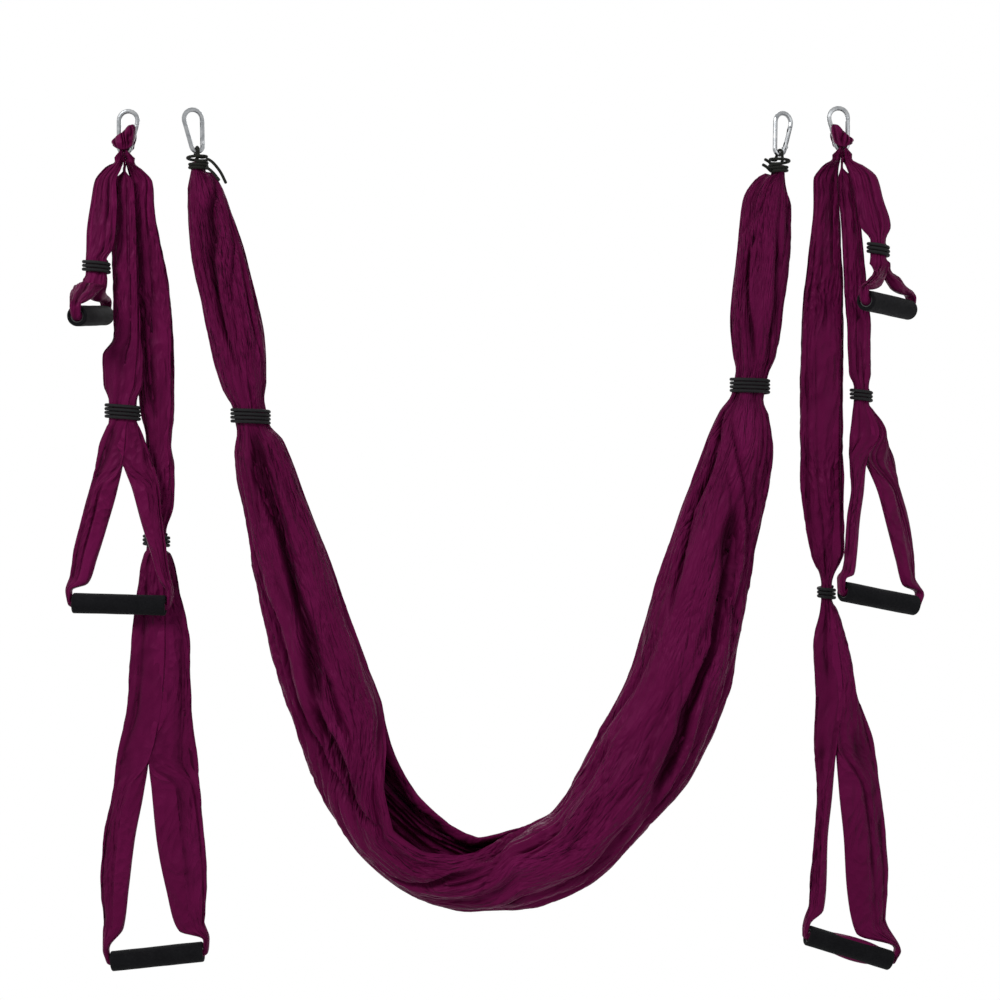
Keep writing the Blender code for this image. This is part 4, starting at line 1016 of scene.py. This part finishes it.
def build_band(name, node, body, centre, half_w, half_d, turns, slope, seed):
    """Elastic cord wound round gathered cloth."""
    rng = np.random.default_rng(seed)
    reach = BAND_GAP + BAND_R
    wound = np.arange(turns * BAND_POINTS + 1)
    angle = radians(60) + 2 * pi * wound / BAND_POINTS
    height = (turns / 2 - wound / BAND_POINTS) * BAND_STEP
    loose = 0.10 * np.sin(angle * 0.37 + rng.uniform(0, 6))
    loose += 0.08 * np.sin(angle * 1.7 + rng.uniform(0, 6))
    x = (half_w + reach + BAND_SLACK + loose) * np.cos(angle)
    y = (half_d + reach + BAND_SLACK + loose) * np.sin(angle)
    points = np.stack([x, y, height + slope * x], -1)
    start, end = (
        tip + (tip - before) / np.linalg.norm(tip - before) * BAND_END
        for tip, before in (points[:2], points[:-3:-1])
    )
    points = np.concatenate([[start], points, [end]]) + centre
    piece = cord_object(name, points, BAND_R, ELASTIC)
    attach(piece, body)
    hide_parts(node)


# The cloth's crest over each set's hook: across, up to its top edge; heights and depths in mm
CREST = {
    "left_set": ([-19, -12, -2, 8, 14, 17], [17, 24, 31, 41, 42, 36]),
    "right_set": ([-17, -14, -8, 2, 10, 17], [33, 38, 37, 27, 20, 15]),
}
CREST_INNER, CREST_NEAR = 13.2, 4.8
CREST_FLAT = (0.040, 0.032)


def build_crest(name, sense, seed):
    """The gathered cloth that stands up beside a hook: sense -1 is its front, 1 its back."""
    rng = np.random.default_rng(seed)
    across, tops = (np.array(line, float) for line in CREST[name])
    x = np.linspace(across[0], across[-1], 90)
    top = smooth_between(across, tops, x) * (1.0 if sense < 0 else 0.8)
    share = (x - x[0]) / (x[-1] - x[0])
    full = np.sqrt(unit(1 - (2 * share - 1) ** 4))[:, None]
    s = np.linspace(0, 1, 46)[None]
    foot = (2.5 + 6 * (2 * share - 1) ** 2)[:, None]
    up = foot + (top[:, None] - foot) * np.sin(pi / 2 * s) ** 0.85
    wide = 0.74 + 0.26 * np.sin(pi / 2 * unit(s / 0.5))
    bulge = 19 - 10 * s ** 1.3
    low = np.sqrt(np.clip(CREST_INNER ** 2 - up ** 2, 0, None))
    near = np.maximum(low, CREST_NEAR)
    folds = pleats(rng, up * 3, share[:, None] + 0.002 * up, 4.6, 0.25, 120)
    closing = np.sqrt(unit((1 - s) * 4) * unit(0.05 + s * 5))
    out = near + 0.4 + (bulge - near - 0.4) * full * closing * (1 - 0.5 * folds)
    out += 0.35 * ripples(rng, 6, up, x[:, None], 14, 8, 0.8) * full
    outer, inner = (np.stack([x[:, None] * wide, sense * y, up], -1) for y in (out, near))
    inner = inner[:, ::-1]
    ring = np.concatenate([outer, inner[:, 1:-1]], 1)
    # painted shade: darker in the valleys of the crest's pleats, and its inner side gets a fixed
    # darker value
    fold_shade = np.concatenate([1 - 0.9 * folds, np.full(inner[:, 1:-1].shape[:2], 0.3)], 1)
    flat = flat_places(share * CREST_FLAT[0], np.linspace(0, 2 * CREST_FLAT[1], ring.shape[1]))
    side = "front" if sense < 0 else "back"
    piece = grid_object(
        f"{name}_crest_{side}", (ring + HANGERS[name]) * MM, flat, NYLON, fold_shade,
        closed=True, caps=True,
    )
    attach(piece, "hooks")


ROPE_R = 2.25
ROPE_STEP = 5.2
NECK_STEP = 4.7
NECK_SHIFT = 1.0
ROPE_GAP = 0.85
NECK_R = 10.0
NECK_TOP = 15.0
NECK_LENGTH = 13.0
TAILS = {
    "left": (
        [(36, -24, 46), (27, -22, 35), (19, -17, 28)],
        [(18, -9, 13), (27, -18, 20), (38, -23, 34), (46, -23, 50)],
    ),
    "right": ([(27, -18, 18), (21, -15, 21)], [(17, -8, 12), (23, -11, 9)]),
}


def build_rope(which, side):
    """The tie: it whips the neck of the cloth, climbs over the hook and whips its own two legs."""
    hanger = HANGERS[f"hammock_{which}"]
    turn = HOOK_TURNS[f"hammock_{which}"]
    aside = np.array([-sin(turn), cos(turn), 0])
    arch_r = ROD_R + ROPE_GAP + ROPE_R
    neck = hanger + (side * 2.0, 0, 0)

    def about(centre, radius, degrees, drop):
        radius /= cos(pi / 12)
        angle = radians(degrees)
        return centre + (side * radius * cos(angle), radius * sin(angle), -drop)

    cloth_r = NECK_R + CLOTH_GAP + ROPE_R
    legs_r = arch_r + 2 * ROPE_R + 2.6
    low = NECK_TOP + NECK_LENGTH - 0.65 * 2 * ROPE_R + NECK_SHIFT
    first_tail, second_tail = TAILS[which]
    points = [hanger + (side * x, y, -d) for x, y, d in first_tail]
    points += [about(neck, cloth_r, -30 - 30 * i, low - NECK_STEP * i / 12) for i in range(27)]
    points.append(about(neck, cloth_r, -30 - 30 * 26.4, NECK_TOP - 0.5))
    points.append(hanger - aside * (arch_r + 1) - (0, 0, 9))
    points.append(hanger - aside * arch_r - (0, 0, 3))
    for degrees in range(-90, 91, 20):
        angle = radians(degrees)
        points.append(hanger + (aside * sin(angle) + (0, 0, cos(angle))) * arch_r)
    points.append(hanger + aside * (arch_r + 2.5) - (0, 0, 3))
    points += [
        about(hanger, legs_r, 75 - 30 * i, ROD_R + 2.8 + ROPE_STEP * i / 12) for i in range(15)
    ]
    points += [hanger + (side * x, y, -d) for x, y, d in second_tail]
    piece = cord_object(f"hammock_{which}_rope_tie", smooth_line(points, 6), ROPE_R, ROPE)
    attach(piece, "hammock")
    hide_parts(f"hammock_{which}_rope")


# ---- grips

GRIP_SIDES = 56


def build_grip(name, strap, seed):
    """A foam sleeve with rounded ends, pressed in a little where the cloth turns in."""
    rng = np.random.default_rng(seed)
    half, edge = GRIP_HALF, 2.8
    corner = []
    for k in range(9):
        a = pi / 2 * k / 8
        corner.append((half - edge + edge * cos(pi / 2 - a), GRIP_R - edge + edge * cos(a)))
    top = [(x, GRIP_R) for x in np.linspace(-half + 7, half - 7, 22)]
    mouth = [(half, BORE_R + 1.2), (half - 0.35, BORE_R + 0.3), (half - 1.2, BORE_R)]
    bore = [(x, BORE_R) for x in np.linspace(half - 8, -half + 8, 6)]

    def mirrored(part):
        return [(-x, r) for x, r in reversed(part)]

    line = np.array(mirrored(corner) + top + corner + mouth + bore + mirrored(mouth))
    turn = np.linspace(0, 2 * pi, GRIP_SIDES, endpoint=False)
    x = np.repeat(line[:, :1], GRIP_SIDES, 1)
    r = np.repeat(line[:, 1:], GRIP_SIDES, 1)
    outside = unit((r - BORE_R - 1) / 3)
    wave = sum(
        np.sin(x / length + lobes * turn + rng.uniform(0, 6)) * amount
        for length, lobes, amount in ((21, 1, 0.10), (11, 2, 0.08), (6, 3, 0.05), (34, 2, 0.10))
    )
    r = r + (wave - 0.28) * outside
    local = np.stack([x, r * np.sin(turn), r * np.cos(turn)], -1)
    yaw = Matrix.Rotation(radians(strap["yaw"]), 4, "Z")
    tilt = Matrix.Rotation(-radians(strap["tilt"]), 4, "Y")
    turn_it = np.array((yaw @ tilt).to_3x3())
    across, drop = strap["grip"]
    middle = HANGERS[name.rsplit("_", 1)[0]] + (across, strap["split"][2], -drop)
    points = local @ turn_it.T + middle
    closed = np.pad(points, ((0, 1), (0, 1), (0, 0)), "wrap")
    round_it = np.linspace(0, 2 * pi * GRIP_R * MM, GRIP_SIDES + 1)
    flat = flat_places(distances(closed[:, 0]) * MM, round_it)
    piece = grid_object(f"{name}_foam", closed * MM, flat, FOAM)
    weld = piece.modifiers.new("weld", "WELD")
    weld.merge_threshold = 1e-6
    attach(piece, f"{name}_handle")
    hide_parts(f"{name}_grip")


# ---- the whole

# The first seed of each kind of piece
SEEDS = {
    "hammock": 7, "strap": 40, "strap_band": 60, "hammock_band": 70, "grip": 80,
    "crest_front": 90, "crest_back": 94,
}

for number, (name, strap) in enumerate(STRAPS.items()):
    build_strap(name, strap, SEEDS["strap"] + number)
    drop, left, right, y, depth, turns, tilt = strap["band"]
    centre = HANGERS[name.rsplit("_", 1)[0]] + ((left + right) / 2, y, -drop)
    build_band(f"{name}_elastic", f"{name}_band", f"{name}_loop", centre, (right - left) / 2, depth,
               turns, -tan(radians(tilt)), SEEDS["strap_band"] + number)
    build_grip(name, strap, SEEDS["grip"] + number)

for number, (which, side) in enumerate((("left", 1), ("right", -1))):
    build_rope(which, side)
    across, drop, width, depth = HAMMOCK_BANDS[which]
    centre = HANGERS[f"hammock_{which}"] + (across, 0, -drop)
    build_band(f"hammock_{which}_elastic", f"hammock_{which}_band", "hammock", centre, width / 2,
               depth / 2, 4, 0.0, SEEDS["hammock_band"] + number)
build_hammock(SEEDS["hammock"])
for number, name in enumerate(CREST):
    build_crest(name, -1, SEEDS["crest_front"] + number)
    build_crest(name, 1, SEEDS["crest_back"] + number)

for name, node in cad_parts.items():
    steel = name.endswith(("_frame", "_gate", "_rivet"))
    if steel or name.endswith("_handle_tube"):
        node.data.materials.clear()
        node.data.materials.append(ZINC if steel else PLASTIC)
    if steel:
        node.data.polygons.foreach_set("use_smooth", [True] * len(node.data.polygons))
